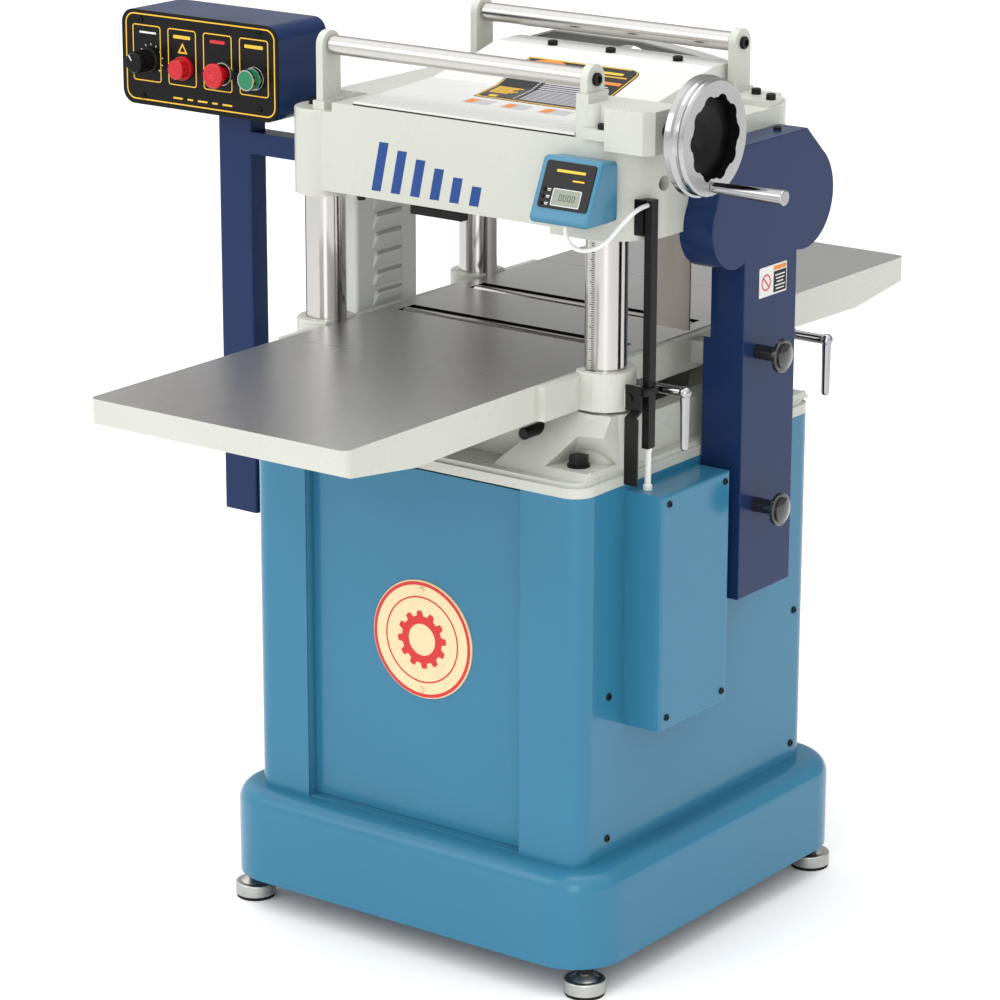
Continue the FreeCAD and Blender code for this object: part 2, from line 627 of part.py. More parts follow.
def dust_hood():
    """Chip chute behind the head with a round hose outlet."""
    x_mid = sum(x for x, z in HOOD_LINE) / len(HOOD_LINE)
    inner = []
    for x, z in HOOD_LINE:
        step = 2.0 if x < x_mid else -2.0
        inner.append((x + step, z + 2.0 if z < 1100.0 else z - 2.2))
    shell = prism_y(HOOD_LINE, HEAD_Y + 0.2, 231.0).cut(prism_y(inner, HEAD_Y - 1.0, 229.0))
    x, z = HOOD_PORT
    neck = cyl(x, 230.0, z, HOOD_PORT_R, 52.0, Y_AXIS)
    return fuse(shell, neck).cut(cyl(x, 220.0, z, HOOD_PORT_R - 2.0, 70.0, Y_AXIS))


def bracket_profile(y, z_foot):
    r = 19.0
    plate = box(0.0, 11.0, y - r, y + r, z_foot, RETURN_Z)
    arch = cyl(0.0, y, RETURN_Z, r, 11.0, X_AXIS)
    foot = box(-4.0, 15.0, y - r - 3.0, y + r + 3.0, z_foot, z_foot + 12.0)
    return fuse(plate, arch, foot).cut(cyl(-10.0, y, RETURN_Z, 6.06, 50.0, X_AXIS))


def roller_brackets():
    parts = []
    for x, y, z in ((-219.5, RETURN_FRONT_Y, HEAD_BOSS_TOP), (-219.5, RETURN_REAR_Y, HEAD_BOSS_TOP),
                    (206.5, RETURN_FRONT_Y, GEAR_Z1), (206.5, RETURN_REAR_Y, HEAD_Z1)):
        piece = bracket_profile(y, z)
        piece.translate(V(x, 0, 0))
        parts.append(piece)
    margin = head_outline(HEAD_Z1 - 1.0, FOOT_PLATE_Z1 + 1.0)
    margin.translate(V(-4.0, -4.0, 0))
    foot_plate = box(202.5, 292.0, 112.0, 178.0, HEAD_Z1, FOOT_PLATE_Z1).common(margin)
    parts[-1] = fuse(parts[-1], foot_plate)
    return Part.makeCompound(parts)


def return_roller(y):
    roll = cyl(-205.0, y, RETURN_Z, RETURN_R, 408.0, X_AXIS)
    roll = roll.makeChamfer(1.0, [e for e in roll.Edges if isinstance(e.Curve, Part.Circle)])
    journal = cyl(-218.0, y, RETURN_Z, 6.0, 434.0, X_AXIS)
    return fuse(roll, journal)


def gear_housing():
    """Bevel-gear box of the table lift; the front-right bracket stands on its round root."""
    outline = [V(250.0, -209.0, 1110.0), V(308.0, -209.0, 1110.0), V(320.0, -198.0, 1110.0),
               V(320.0, -150.0, 1110.0), V(308.0, -138.0, 1110.0), V(250.0, -138.0, 1110.0)]
    block = Part.Face(Part.makePolygon(outline + [outline[0]])).extrude(V(0, 0, GEAR_Z1 - 1110.0))
    block = block.cut(head_outline(1100.0, HEAD_Z1))
    root = cyl(212.0, RETURN_FRONT_Y, HEAD_Z1, 23.0, GEAR_Z1 - HEAD_Z1)
    root = root.cut(box(150.0, COVER_X1 + 1.0, -300.0, 300.0, 1100.0, 1200.0))
    bridge = box(204.0, 252.0, -191.0, -138.0, HEAD_Z1, GEAR_Z1)
    ledge = box(216.0, 252.0, -208.0, -189.0, HEAD_Z1, GEAR_LEDGE_Z1)
    body = fuse(block, root, bridge, ledge)
    return body.cut(cyl(290.0, WHEEL_Y, WHEEL_Z, 9.06, 60.0, X_AXIS))


def wheel_rim():
    """Turned rim: a wide band at the back, a hollow beside it and a flat front ring."""
    profile = [(WHEEL_X0, 57.0), (WHEEL_X0, 74.5), (WHEEL_X0 + 2.0, WHEEL_R), (WHEEL_X0 + 10.0, WHEEL_R),
               (WHEEL_X0 + 12.5, 73.6), (WHEEL_X0 + 15.5, 72.2), (WHEEL_X0 + 19.0, 72.6),
               (WHEEL_X0 + 22.5, 74.0), (WHEEL_X1 - 2.5, 73.4), (WHEEL_X1, 71.0), (WHEEL_X1, 40.0),
               (WHEEL_X1 - 8.0, 40.0), (WHEEL_X1 - 8.0, 57.0)]
    pts = [V(x, WHEEL_Y, WHEEL_Z + r) for x, r in profile]
    rim = Part.Face(Part.makePolygon(pts + [pts[0]])).revolve(V(0, WHEEL_Y, WHEEL_Z), X_AXIS, 360.0)
    rim = rim.cut(cyl(WHEEL_X1 - 9.0, WHEEL_Y, WHEEL_Z, 51.0, 12.0, X_AXIS))
    for k in range(WHEEL_LOBES):
        a = 2.0 * math.pi * (k + 0.5) / WHEEL_LOBES
        y = WHEEL_Y + 42.5 * math.sin(a)
        z = WHEEL_Z + 42.5 * math.cos(a)
        rim = rim.cut(cyl(WHEEL_X1 - 9.0, y, z, 13.0, 12.0, X_AXIS))
    return rim


def handwheel():
    dish = Part.makeCone(60.0, 24.0, 14.0, V(WHEEL_X0 + 12.0, WHEEL_Y, WHEEL_Z), V(-1, 0, 0))
    dish = dish.cut(Part.makeCone(57.5, 16.0, 12.5, V(WHEEL_X0 + 18.0, WHEEL_Y, WHEEL_Z), V(-1, 0, 0)))
    hub = cyl(330.0, WHEEL_Y, WHEEL_Z, 22.0, 40.0, X_AXIS)
    shaft = cyl(296.0, WHEEL_Y, WHEEL_Z, 9.0, 60.0, X_AXIS)
    boss = cyl(WHEEL_X1 - 16.0, HANDLE_Y, HANDLE_Z, 11.0, 16.0, X_AXIS)
    boss = boss.cut(cyl(WHEEL_X1 - 20.0, WHEEL_Y, WHEEL_Z, 51.0, 30.0, X_AXIS))
    body = fuse(wheel_rim(), dish, hub, shaft, boss)
    return body.cut(cyl(WHEEL_X1 - 12.0, HANDLE_Y, HANDLE_Z, 5.06, 30.0, X_AXIS))


def handwheel_handle():
    x0 = WHEEL_X1 + 0.4
    length = HANDLE_TIP_X - x0
    grip = Part.makeCone(6.5, 10.0, length, V(x0, HANDLE_Y, HANDLE_Z), X_AXIS)
    grip = grip.makeFillet(2.0, [e for e in edges_at_x(grip, HANDLE_TIP_X)])
    return fuse(grip, cyl(WHEEL_X1 - 11.0, HANDLE_Y, HANDLE_Z, 5.0, 14.0, X_AXIS))


# ---------------------------------------------------------------- cutting and feeding
def cutterhead():
    body = cyl(-200.0, CUT_Y, CUT_Z, CUT_R, 405.0, X_AXIS)
    body = fuse(body, cyl(-240.0, CUT_Y, CUT_Z, 15.0, PULLEY_X1 + 240.0, X_AXIS))
    rows = 5
    per_row = 13
    for row in range(rows):
        for k in range(per_row):
            x = -188.0 + k * 30.0 + row * 6.0
            a = 2.0 * math.pi * row / rows + k * 0.09
            seat = box(x - 7.0, x + 7.0, -8.0, 8.0, CUT_R - 3.0, CUT_CIRCLE_R + 4.0)
            seat.rotate(V(0, 0, 0), X_AXIS, math.degrees(a))
            seat.translate(V(0, CUT_Y, CUT_Z))
            body = body.cut(seat)
    return body


def pulley(y, z, r):
    drum = cyl(PULLEY_X0, y, z, r, PULLEY_X1 - PULLEY_X0, X_AXIS)
    for x in (PULLEY_X0 - PULLEY_FLANGE, PULLEY_X1):
        drum = fuse(drum, cyl(x, y, z, r + BELT_T + 2.0, PULLEY_FLANGE, X_AXIS))
    for x in BELT_X[:-1]:
        drum = fuse(drum, cyl(x + BELT_W / 2 + 0.6, y, z, r + 5.0, 1.3, X_AXIS))
    return drum


def cutterhead_pulley():
    return pulley(CUT_Y, CUT_Z, CUT_PULLEY_R).cut(cyl(280.0, CUT_Y, CUT_Z, 15.0, PULLEY_X1 - 280.0, X_AXIS))


def motor_pulley():
    drum = pulley(MOTOR_Y, MOTOR_Z, MOTOR_PULLEY_R)
    return fuse(drum, cyl(MOTOR_X1 - 50.0, MOTOR_Y, MOTOR_Z, 14.0, PULLEY_X0 - MOTOR_X1 + 50.0, X_AXIS))


def belt_loop(grow, x, width):
    """Filled outline of a belt round both pulleys, `grow` outside their drums."""
    ra = CUT_PULLEY_R + grow
    rb = MOTOR_PULLEY_R + grow
    dy = MOTOR_Y - CUT_Y
    dz = MOTOR_Z - CUT_Z
    length = math.hypot(dy, dz)
    heading = math.atan2(dz, dy)
    lean = math.acos((ra - rb) / length)
    quad = []
    for sign in (1, -1):
        a = heading + sign * lean
        quad.append((CUT_Y + ra * math.cos(a), CUT_Z + ra * math.sin(a)))
        quad.append((MOTOR_Y + rb * math.cos(a), MOTOR_Z + rb * math.sin(a)))
    points = [quad[0], quad[1], quad[3], quad[2]]
    web = prism_x(points, x, x + width)
    return fuse(web, cyl(x, CUT_Y, CUT_Z, ra, width, X_AXIS), cyl(x, MOTOR_Y, MOTOR_Z, rb, width, X_AXIS))


def drive_belts():
    belts = []
    for x in BELT_X:
        x0 = x - BELT_W / 2
        belts.append(belt_loop(BELT_T, x0, BELT_W).cut(belt_loop(0.4, x0 - 1, BELT_W + 2)))
    return Part.makeCompound(belts)


def motor():
    body = cyl(MOTOR_X0, MOTOR_Y, MOTOR_Z, 78.0, MOTOR_X1 - MOTOR_X0, X_AXIS)
    fins = 16
    for k in range(fins):
        a = 2.0 * math.pi * k / fins
        fin = box(MOTOR_X0 + 10.0, MOTOR_X1 - 30.0, -1.5, 1.5, 76.0, 86.0)
        fin.rotate(V(0, 0, 0), X_AXIS, math.degrees(a))
        fin.translate(V(0, MOTOR_Y, MOTOR_Z))
        body = fuse(body, fin)
    foot = box(-80.0, 90.0, MOTOR_Y - 55, MOTOR_Y + 55, MOTOR_Z - 92.0, MOTOR_Z - 84.0)
    legs = [box(x, x + 12.0, MOTOR_Y - 50, MOTOR_Y + 50, MOTOR_Z - 86.0, MOTOR_Z - 40.0)
            for x in (-70.0, 70.0)]
    shelf = box(MOTOR_X0, CAB_X - SHEET, MOTOR_Y - 58, MOTOR_Y + 58, MOTOR_Z - 98.0, MOTOR_Z - 92.0)
    body = fuse(body, foot, shelf, *legs)
    return body.cut(cyl(MOTOR_X1 - 52.0, MOTOR_Y, MOTOR_Z, 14.06, 300.0, X_AXIS))


def feed_roller(y, serrated):
    body = cyl(-198.0, y, FEED_Z, FEED_R, 404.0, X_AXIS)
    if serrated:
        teeth = 24
        for k in range(teeth):
            a = 2.0 * math.pi * k / teeth
            cut_y = y + (FEED_R + 1.0) * math.cos(a)
            cut_z = FEED_Z + (FEED_R + 1.0) * math.sin(a)
            body = body.cut(cyl(-199.0, cut_y, cut_z, 2.4, 406.0, X_AXIS))
    return fuse(body, cyl(-238.0, y, FEED_Z, 10.0, 476.0, X_AXIS))


def kickback_fingers():
    """Row of swinging pawls on one sleeve, in front of the infeed roller."""
    y, z = -118.0, 1040.0
    sleeve = cyl(-200.0, y, z, 9.0, 410.0, X_AXIS)
    row = sleeve
    count = 25
    for k in range(count):
        x = -196.0 + k * 16.4
        blade = prism_x([(y - 7.0, z + 4.0), (y + 7.0, z + 4.0), (y + 12.0, z - 34.0),
                         (y + 2.0, z - 38.0), (y - 8.0, z - 20.0)], x, x + 8.0)
        row = fuse(row, blade)
    return fuse(row, cyl(-215.0, y, z, 5.95, 440.0, X_AXIS))


# ---------------------------------------------------------------- guard and covers
def guard_outline(inset, x0, x1):
    """Side view of the belt guard: two round lobes above a straight duct."""
    front = cyl(x0, -35.0, 995.0, 57.0 - inset, x1 - x0, X_AXIS)
    back = cyl(x0, 130.0, 1005.0, 70.0 - inset, x1 - x0, X_AXIS)
    duct = box(x0, x1, GUARD_DUCT_Y0 + inset, GUARD_DUCT_Y1 - inset, GUARD_Z0 + inset, 1000.0)
    crown = prism_x([(-92.0 + inset, 995.0), (-62.0 + inset, GUARD_Z1 - inset),
                     (131.5 - inset / 2, GUARD_Z1 - inset), (182.0 - inset, 1052.0),
                     (200.0 - inset, 1005.0), (130.0, 950.0), (-35.0, 950.0)], x0, x1)
    return fuse(front, back, duct, crown)


def belt_guard():
    outer = guard_outline(0.0, GUARD_X0, GUARD_X1)
    outer = outer.makeFillet(1.2, edges_at_x(outer, GUARD_X1))
    body = outer.cut(guard_outline(2.0, GUARD_X0 - 1.0, GUARD_X1 - 2.5))
    body = body.cut(box(200.0, GUARD_HEAD_X0, -HEAD_Y - 1, HEAD_Y + 1, HEAD_Z0 - 0.5, HEAD_Z1 + 1))
    body = body.cut(box(200.0, GUARD_MID_X0, -HEAD_Y - 1, HEAD_Y + 1, GUARD_MID_Z0, HEAD_Z0))
    for y, z in (KNOB_UPPER, KNOB_LOWER):
        body = body.cut(cyl(GUARD_X1 - 5.0, y, z, 5.06, 10.0, X_AXIS))
    return body


def guard_knob(y, z):
    """Mushroom knob: stud, slim neck and a thin disc with a domed face."""
    stud = cyl(GUARD_X1 - 12.0, y, z, 5.0, 20.0, X_AXIS)
    neck = cyl(GUARD_X1 + 0.3, y, z, 10.0, KNOB_X - 8.0 - GUARD_X1, X_AXIS)
    back = Part.makeCone(13.0, 21.0, 5.0, V(KNOB_X - 13.0, y, z), X_AXIS)
    disc = cyl(KNOB_X - 8.0, y, z, 22.0, 6.0, X_AXIS)
    disc = disc.makeFillet(2.0, edges_at_x(disc, KNOB_X - 2.0))
    dome = Part.makeSphere(44.0, V(KNOB_X - 40.0, y, z)).common(cyl(KNOB_X - 3.0, y, z, 17.0, 10.0, X_AXIS))
    return fuse(stud, neck, back, disc, dome)


def drive_side_cover():
    plate = box(221.5, 275.4, -47.5, -45.0, 850.0, HEAD_Z0)
    flange = box(221.5, 224.0, -45.5, -20.0, 850.0, HEAD_Z0)
    return fuse(plate, flange)


def feed_motor_cover():
    x0, x1, y0, y1, z0 = -302.0, -250.5, -78.0, 57.0, 764.0
    outer = box(x0, x1, y0, y1, z0, HEAD_Z0)
    outer = outer.makeFillet(5.0, vertical_edges(outer))
    shell = outer.cut(box(x0 + 2, x1 - 2, y0 + 2, y1 - 2, z0 - 1, HEAD_Z0 - 2))
    for k in range(7):
        z = 962.0 - k * 27.0
        louver = box(x1 - 0.5, x1 + 4.0, -40.0, 18.0, z - 5.0, z)
        louver = louver.cut(box(x1 - 4.0, x1 + 2.6, -38.5, 16.5, z - 6.0, z - 1.4))
        slot = box(x1 - 3.0, x1 + 1.0, -37.0, 15.0, z - 5.0, z - 1.4)
        shell = fuse(shell.cut(slot), louver)
    tab = box(x1 - 1.5, HEAD_X0, -60.0, 40.0, HEAD_Z0 - 6.0, 1030.0)
    return fuse(shell, tab)


def depth_limiter():
    bar = box(-62.0, 22.0, -204.0, -188.0, 988.0, HEAD_WALL_Z0)
    return bar.makeChamfer(2.0, edges_at_y(bar, -204.0))


# ---------------------------------------------------------------- controls
def control_post():
    tube = box(POST_X0, POST_X1, POST_Y0, POST_Y1, POST_Z0, BOX_Z0)
    tube = tube.makeFillet(4.0, vertical_edges(tube))
    tube = tube.cut(box(POST_X0 + 3, POST_X1 - 3, POST_Y0 + 3, POST_Y1 - 3, POST_Z0 - 1, BOX_Z0 + 1))
    arm = box(POST_X1 - 3.0, -271.0, POST_Y0, POST_Y0 + 30.0, 1026.0, 1056.0)
    low_arm = box(POST_X1 - 3.0, -CAB_X, POST_Y0, POST_Y0 + 30.0, 640.0, 665.0)
    return fuse(tube, arm, low_arm)


def control_box():
    outer = box(BOX_X0, BOX_X1, BOX_Y0, BOX_Y1, BOX_Z0, BOX_Z1)
    along = [e for e in outer.Edges
             if abs(e.Vertexes[0].Point.y - e.Vertexes[-1].Point.y) > 50.0]
    outer = outer.makeFillet(20.0, along)
    inner = box(BOX_X0 + 2, BOX_X1 - 2, BOX_Y0 - 1, BOX_Y1 - 2, BOX_Z0 + 2, BOX_Z1 - 2)
    inner = inner.makeFillet(18.0, [e for e in inner.Edges
                                    if abs(e.Vertexes[0].Point.y - e.Vertexes[-1].Point.y) > 50.0])
    return outer.cut(inner)


def control_plate():
    plate = box(BOX_X0, BOX_X1, PLATE_Y, BOX_Y0, BOX_Z0, BOX_Z1)
    plate = plate.makeFillet(20.0, [e for e in plate.Edges
                                    if abs(e.Vertexes[0].Point.y - e.Vertexes[-1].Point.y) > 2.0])
    holes = ((KNOB_CTRL[0], KNOB_CTRL[1], 3.06), (STOP_X, CONTROL_Z, 9.06), (START_X, CONTROL_Z, 9.06))
    for x, z, r in holes:
        plate = plate.cut(cyl(x, PLATE_Y - 1, z, r, 10.0, Y_AXIS))
    bezel = ring(START_X, PLATE_Y - 4.0, CONTROL_Z, 15.0, 12.0, 4.0, Y_AXIS)
    collar = ring(STOP_X, PLATE_Y - 4.0, CONTROL_Z, 14.0, 11.5, 4.0, Y_AXIS)
    return fuse(plate, bezel, collar)


def speed_knob():
    x, z = KNOB_CTRL
    skirt = cyl(x, PLATE_Y - 0.4, z, 16.5, 8.0, V(0, -1, 0))
    grip = Part.makeCone(15.0, 14.0, 30.0, V(x, PLATE_Y - 8.0, z), V(0, -1, 0))
    grip = grip.makeFillet(1.5, edges_at_y(grip, PLATE_Y - 38.0))
    stem = cyl(x, PLATE_Y - 2.0, z, 3.0, 12.0, Y_AXIS)
    return fuse(skirt, grip, stem)


def power_lamp():
    base = cyl(LAMP_X, PLATE_Y, CONTROL_Z, 14.5, 6.0, V(0, -1, 0))
    lens = cyl(LAMP_X, PLATE_Y - 6.0, CONTROL_Z, 13.5, 14.0, V(0, -1, 0))
    lens = lens.makeFillet(2.5, edges_at_y(lens, PLATE_Y - 20.0))
    return fuse(base, lens)


def stop_button():
    stem = cyl(STOP_X, PLATE_Y + 14.0, CONTROL_Z, 9.0, 30.0, V(0, -1, 0))
    head = Part.makeCone(12.0, 17.0, 7.0, V(STOP_X, PLATE_Y - 12.0, CONTROL_Z), V(0, -1, 0))
    cap = cyl(STOP_X, PLATE_Y - 19.0, CONTROL_Z, 17.0, 7.0, V(0, -1, 0))
    cap = cap.makeFillet(3.0, edges_at_y(cap, PLATE_Y - 26.0))
    return fuse(stem, head, cap)


def start_button():
    stem = cyl(START_X, PLATE_Y + 12.0, CONTROL_Z, 9.0, 28.0, V(0, -1, 0))
    cap = cyl(START_X, PLATE_Y - 10.0, CONTROL_Z, 14.0, 12.0, V(0, -1, 0))
    cap = cap.makeFillet(1.5, edges_at_y(cap, PLATE_Y - 22.0))
    return fuse(stem, cap)


# ---------------------------------------------------------------- digital readout
SLOPE_LENGTH = math.hypot(DRO_Y_TOP - DRO_Y_FOOT, DRO_Z1 - DRO_Z0)
SLOPE_NORMAL = V(0, -(DRO_Z1 - DRO_Z0) / SLOPE_LENGTH, (DRO_Y_TOP - DRO_Y_FOOT) / SLOPE_LENGTH)
SLOPE_DOWN = V(0, -SLOPE_NORMAL.z, SLOPE_NORMAL.y)
BUTTON_R = 2.6
BUTTON_DOWN = (43.5, 52.5, 61.5)
BUTTON_X = 192.5
BUTTON_PROUD = 3.4


def on_slope(x, down, proud=0.0):
    """Point on the sloped readout face, `down` millimetres below its top edge."""
    return V(x, DRO_Y_TOP, DRO_Z1) + SLOPE_DOWN * down + SLOPE_NORMAL * proud


def dro_button(index):
    """Small push button that stands out of the sloped face."""
    start = on_slope(BUTTON_X, BUTTON_DOWN[index], -3.0)
    return Part.makeCylinder(BUTTON_R, 3.0 + BUTTON_PROUD, start, SLOPE_NORMAL)


def dro_housing():
    profile = [(DRO_Y_BACK, DRO_Z0), (DRO_Y_BACK, DRO_Z1 - 4.0), (DRO_Y_TOP, DRO_Z1), (DRO_Y_FOOT, DRO_Z0)]
    body = prism_x(profile, DRO_X0, DRO_X1)
    slope = [e for e in body.Edges if not all(abs(v.Point.y - DRO_Y_BACK) < 0.1 for v in e.Vertexes)]
    body = body.makeFillet(6.0, slope)
    for down in BUTTON_DOWN:
        hole = Part.makeCylinder(BUTTON_R + 0.06, 8.0, on_slope(BUTTON_X, down, -5.0), SLOPE_NORMAL)
        body = body.cut(hole)
    return body


def scale_bar():
    bar = box(BAR_X0, BAR_X1, BAR_Y0, BAR_Y1, BAR_Z0, BAR_Z1)
    bar = bar.makeChamfer(1.0, vertical_edges(bar))
    block = box(272.0, BAR_X0, BAR_Y0 - 3.0, BAR_Y1 - 2.0, 1000.0, BAR_Z1)
    block = block.cut(head_outline(HEAD_Z0 - 5.0, HEAD_Z1))
    return fuse(bar, block)


def scale_reader():
    """Reader that rides on the scale bar, with the bracket that ties it to the table."""
    reader = box(284.5, 301.5, -184.0, -154.5, 794.0, 803.0)
    reader = reader.cut(box(BAR_X0 - 0.6, BAR_X1 + 0.6, BAR_Y0 - 0.6, BAR_Y1 + 0.6, 700.0, 900.0))
    plate = box(272.0, 296.0, -187.0, -184.0, 773.0, 807.0)
    joggle = prism_x([(-187.0, 776.0), (-184.0, 773.0), (-200.0, 765.0), (-203.0, 768.0)], 282.0, 296.0)
    leg = box(282.0, 302.0, -203.0, -200.0, 680.0, 768.0)
    screw = cyl(279.0, -187.0, 790.0, 4.5, 3.0, V(0, -1, 0))
    return fuse(reader, plate, joggle, leg, screw)


CABLE_POINTS = [(226.0, -258.0, 1021.0), (226.0, -258.0, 1001.0), (240.0, -245.0, 985.0),
                (262.0, -226.0, 992.0), (280.0, -215.0, 1018.0), (293.0, -196.0, 1040.0),
                (293.0, -173.0, 1040.0)]


def dro_cable():
    """Free cable from the readout housing to the top of the scale bar."""
    pts = [V(*p) for p in CABLE_POINTS]
    edges = []
    start = pts[0]
    for before, at, after in zip(pts, pts[1:], pts[2:]):
        u = (before - at).normalize()
        w = (after - at).normalize()
        half_turn = (math.pi - u.getAngle(w)) / 2.0
        shorter = min((before - at).Length, (after - at).Length)
        radius = 0.45 * shorter / math.tan(half_turn)
        reach = 0.45 * shorter
        a = at + u * reach
        b = at + w * reach
        toward = (u + w).normalize()
        centre = at + toward * math.hypot(radius, reach)
        middle = centre - toward * radius
        edges.append(Part.makeLine(start, a))
        edges.append(Part.Arc(a, middle, b).toShape())
        start = b
        print("cable bend radius", round(radius, 1))
    edges.append(Part.makeLine(start, pts[-1]))
    path = Part.Wire(edges)
    section = Part.Wire(Part.makeCircle(CABLE_R, pts[0], pts[1] - pts[0]))
    tube = path.makePipeShell([section], True, True)
    print("cable length", round(path.Length, 1), "volume ratio",
          round(tube.Volume / (math.pi * CABLE_R ** 2 * path.Length), 3))
    return tube


# ---------------------------------------------------------------- fasteners
def machine_screws():
    parts = []
    for x, y in corners(232.0, 232.0):
        parts.append(fuse(cyl(x, y, 702.0, 15.0, 3.0), hex_prism(x, y, 705.0, 24.0, 11.0)))
    for x, y in ((-248.0, -171.0), (-248.0, 171.0)):
        parts.append(cap_screw(x, y, HEAD_BOSS_TOP, 6.5, 8.0))
    for x in (-68.0, 28.0, 137.0):
        parts.append(cap_screw(x, 124.0, 1165.0, 7.0, 6.5))
    for x, y in ((245.0, 150.0), (282.0, 128.0)):
        parts.append(cap_screw(x, y, FOOT_PLATE_Z1, 6.5, 8.0))
    parts.append(cap_screw(312.0, 98.0, GUARD_Z1, 5.5, 4.0))
    for y in (EBOX_Y0 + 15.0, EBOX_Y1 - 12.0):
        for z in (EBOX_Z0 + 17.0, EBOX_Z1 - 12.0):
            parts.append(cap_screw(EBOX_X1, y, z, 4.5, 2.5, X_AXIS))
    for y in (-219.0, 231.0):
        for z in (394.0, 197.0):
            parts.append(cap_screw(CAB_X, y, z, 5.0, 2.5, X_AXIS))
    for x, z in ((-523.0, 1198.0), (-314.0, 1201.0), (-521.0, 1093.0), (-314.0, 1097.0)):
        parts.append(cap_screw(x, PLATE_Y, z, 4.0, 2.5, V(0, -1, 0)))
    parts.append(cap_screw(-150.0, -194.0, HEAD_WALL_Z0, 6.0, 7.0, V(0, 0, -1)))
    parts.append(cap_screw(240.0, -199.0, GEAR_LEDGE_Z1, 5.5, 7.0))
    for y in (RETURN_FRONT_Y, RETURN_REAR_Y):
        parts.append(cap_screw(217.5, y, RETURN_Z, 8.5, 5.0, X_AXIS))
        parts.append(cap_screw(-219.5, y, RETURN_Z, 8.5, 5.0, V(-1, 0, 0)))
    return Part.makeCompound(parts)


NODES = {
    "stand_plinth": stand_plinth,
    "levelling_feet": levelling_feet,
    "feet_soles": feet_soles,
    "cabinet_body": cabinet_body,
    "cabinet_front_panel": cabinet_front_panel,
    "badge": badge,
    "electrical_box": electrical_box,
    "base_casting": base_casting,
    "guide_columns": guide_columns,
    "lifting_bar_front_left": lambda: lifting_bar(-LIFT_BAR_X, -1),
    "lifting_bar_front_right": lambda: lifting_bar(LIFT_BAR_X, -1),
    "elevation_screws": elevation_screws,
    "sprocket_nut_left": lambda: sprocket_nut(-1),
    "sprocket_nut_right": lambda: sprocket_nut(1),
    "elevation_chains": elevation_chains,
    "elevation_drive_shaft": elevation_drive_shaft,
    "table_casting": table_casting,
    "infeed_extension": lambda: extension(-MAIN_HALF_L, INFEED_END),
    "outfeed_extension": lambda: extension(MAIN_HALF_L, OUTFEED_END),
    "infeed_bed_roller": lambda: bed_roller(INFEED_ROLLER_Y),
    "outfeed_bed_roller": lambda: bed_roller(OUTFEED_ROLLER_Y),
    "front_lock_lever": lambda: lock_lever(-COL_Y),
    "rear_lock_lever": lambda: lock_lever(COL_Y),
    "head_casting": head_casting,
    "top_cover": top_cover,
    "dust_hood": dust_hood,
    "roller_brackets": roller_brackets,
    "front_return_roller": lambda: return_roller(RETURN_FRONT_Y),
    "rear_return_roller": lambda: return_roller(RETURN_REAR_Y),
    "gear_housing": gear_housing,
    "handwheel": handwheel,
    "handwheel_handle": handwheel_handle,
    "cutterhead": lambda: Part.makeCompound([cutterhead(), cutterhead_pulley()]),
    "motor_pulley": motor_pulley,
    "drive_belts": drive_belts,
    "motor": motor,
    "infeed_roller": lambda: feed_roller(INFEED_ROLLER_Y, True),
    "outfeed_roller": lambda: feed_roller(OUTFEED_ROLLER_Y, False),
    "kickback_fingers": kickback_fingers,
    "belt_guard": belt_guard,
    "guard_knob_upper": lambda: guard_knob(*KNOB_UPPER),
    "guard_knob_lower": lambda: guard_knob(*KNOB_LOWER),
    "drive_side_cover": drive_side_cover,
    "feed_motor_cover": feed_motor_cover,
    "depth_limiter": depth_limiter,
    "control_post": control_post,
    "control_box": control_box,
    "control_plate": control_plate,
    "speed_knob": speed_knob,
    "power_lamp": power_lamp,
    "stop_button": stop_button,
    "start_button": start_button,
    "dro_housing": dro_housing,
    "dro_button_upper": lambda: dro_button(0),
    "dro_button_middle": lambda: dro_button(1),
    "dro_button_lower": lambda: dro_button(2),
    "scale_bar": scale_bar,
    "scale_reader": scale_reader,
    "dro_cable": dro_cable,
    "machine_screws": machine_screws,
}


def main():
    os.makedirs("parts", exist_ok=True)
    total = FreeCAD.BoundBox()
    for name, build in NODES.items():
        shape = build()
        shape.translate(V(SHIFT_X, SHIFT_Y, 0))
        shape.exportStep("parts/" + name + ".step")
        total.add(shape.BoundBox)
        print(name, len(shape.Solids), "valid" if shape.isValid() else "INVALID", round(shape.Volume))
    print("box", total)


main()
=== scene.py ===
"""Looks of the thickness planer: materials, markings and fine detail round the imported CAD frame."""
import math

import bmesh
import bpy
from mathutils import Matrix, Vector


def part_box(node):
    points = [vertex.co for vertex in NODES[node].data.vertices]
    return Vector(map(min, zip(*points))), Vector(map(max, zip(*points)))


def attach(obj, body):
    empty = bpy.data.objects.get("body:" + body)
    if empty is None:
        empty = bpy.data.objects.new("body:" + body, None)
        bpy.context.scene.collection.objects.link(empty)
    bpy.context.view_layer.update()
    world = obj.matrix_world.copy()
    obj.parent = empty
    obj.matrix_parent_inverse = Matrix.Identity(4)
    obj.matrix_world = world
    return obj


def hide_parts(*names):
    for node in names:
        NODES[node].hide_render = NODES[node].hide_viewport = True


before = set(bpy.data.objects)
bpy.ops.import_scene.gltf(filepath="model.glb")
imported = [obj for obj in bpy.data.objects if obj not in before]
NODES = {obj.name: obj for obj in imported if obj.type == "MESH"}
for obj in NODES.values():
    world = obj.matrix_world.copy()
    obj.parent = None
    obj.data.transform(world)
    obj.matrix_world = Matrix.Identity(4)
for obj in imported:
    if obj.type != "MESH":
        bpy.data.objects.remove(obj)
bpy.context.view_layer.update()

MM = 0.001
# Row frame = machine coordinates (columns centred on X = Y = 0) plus this shift.
SHIFT = Vector((28.5, 25.15, 0.0))


def at(x, y, z):
    """Machine coordinates in millimetres to the row frame in metres."""
    return (Vector((x, y, z)) + SHIFT) * MM


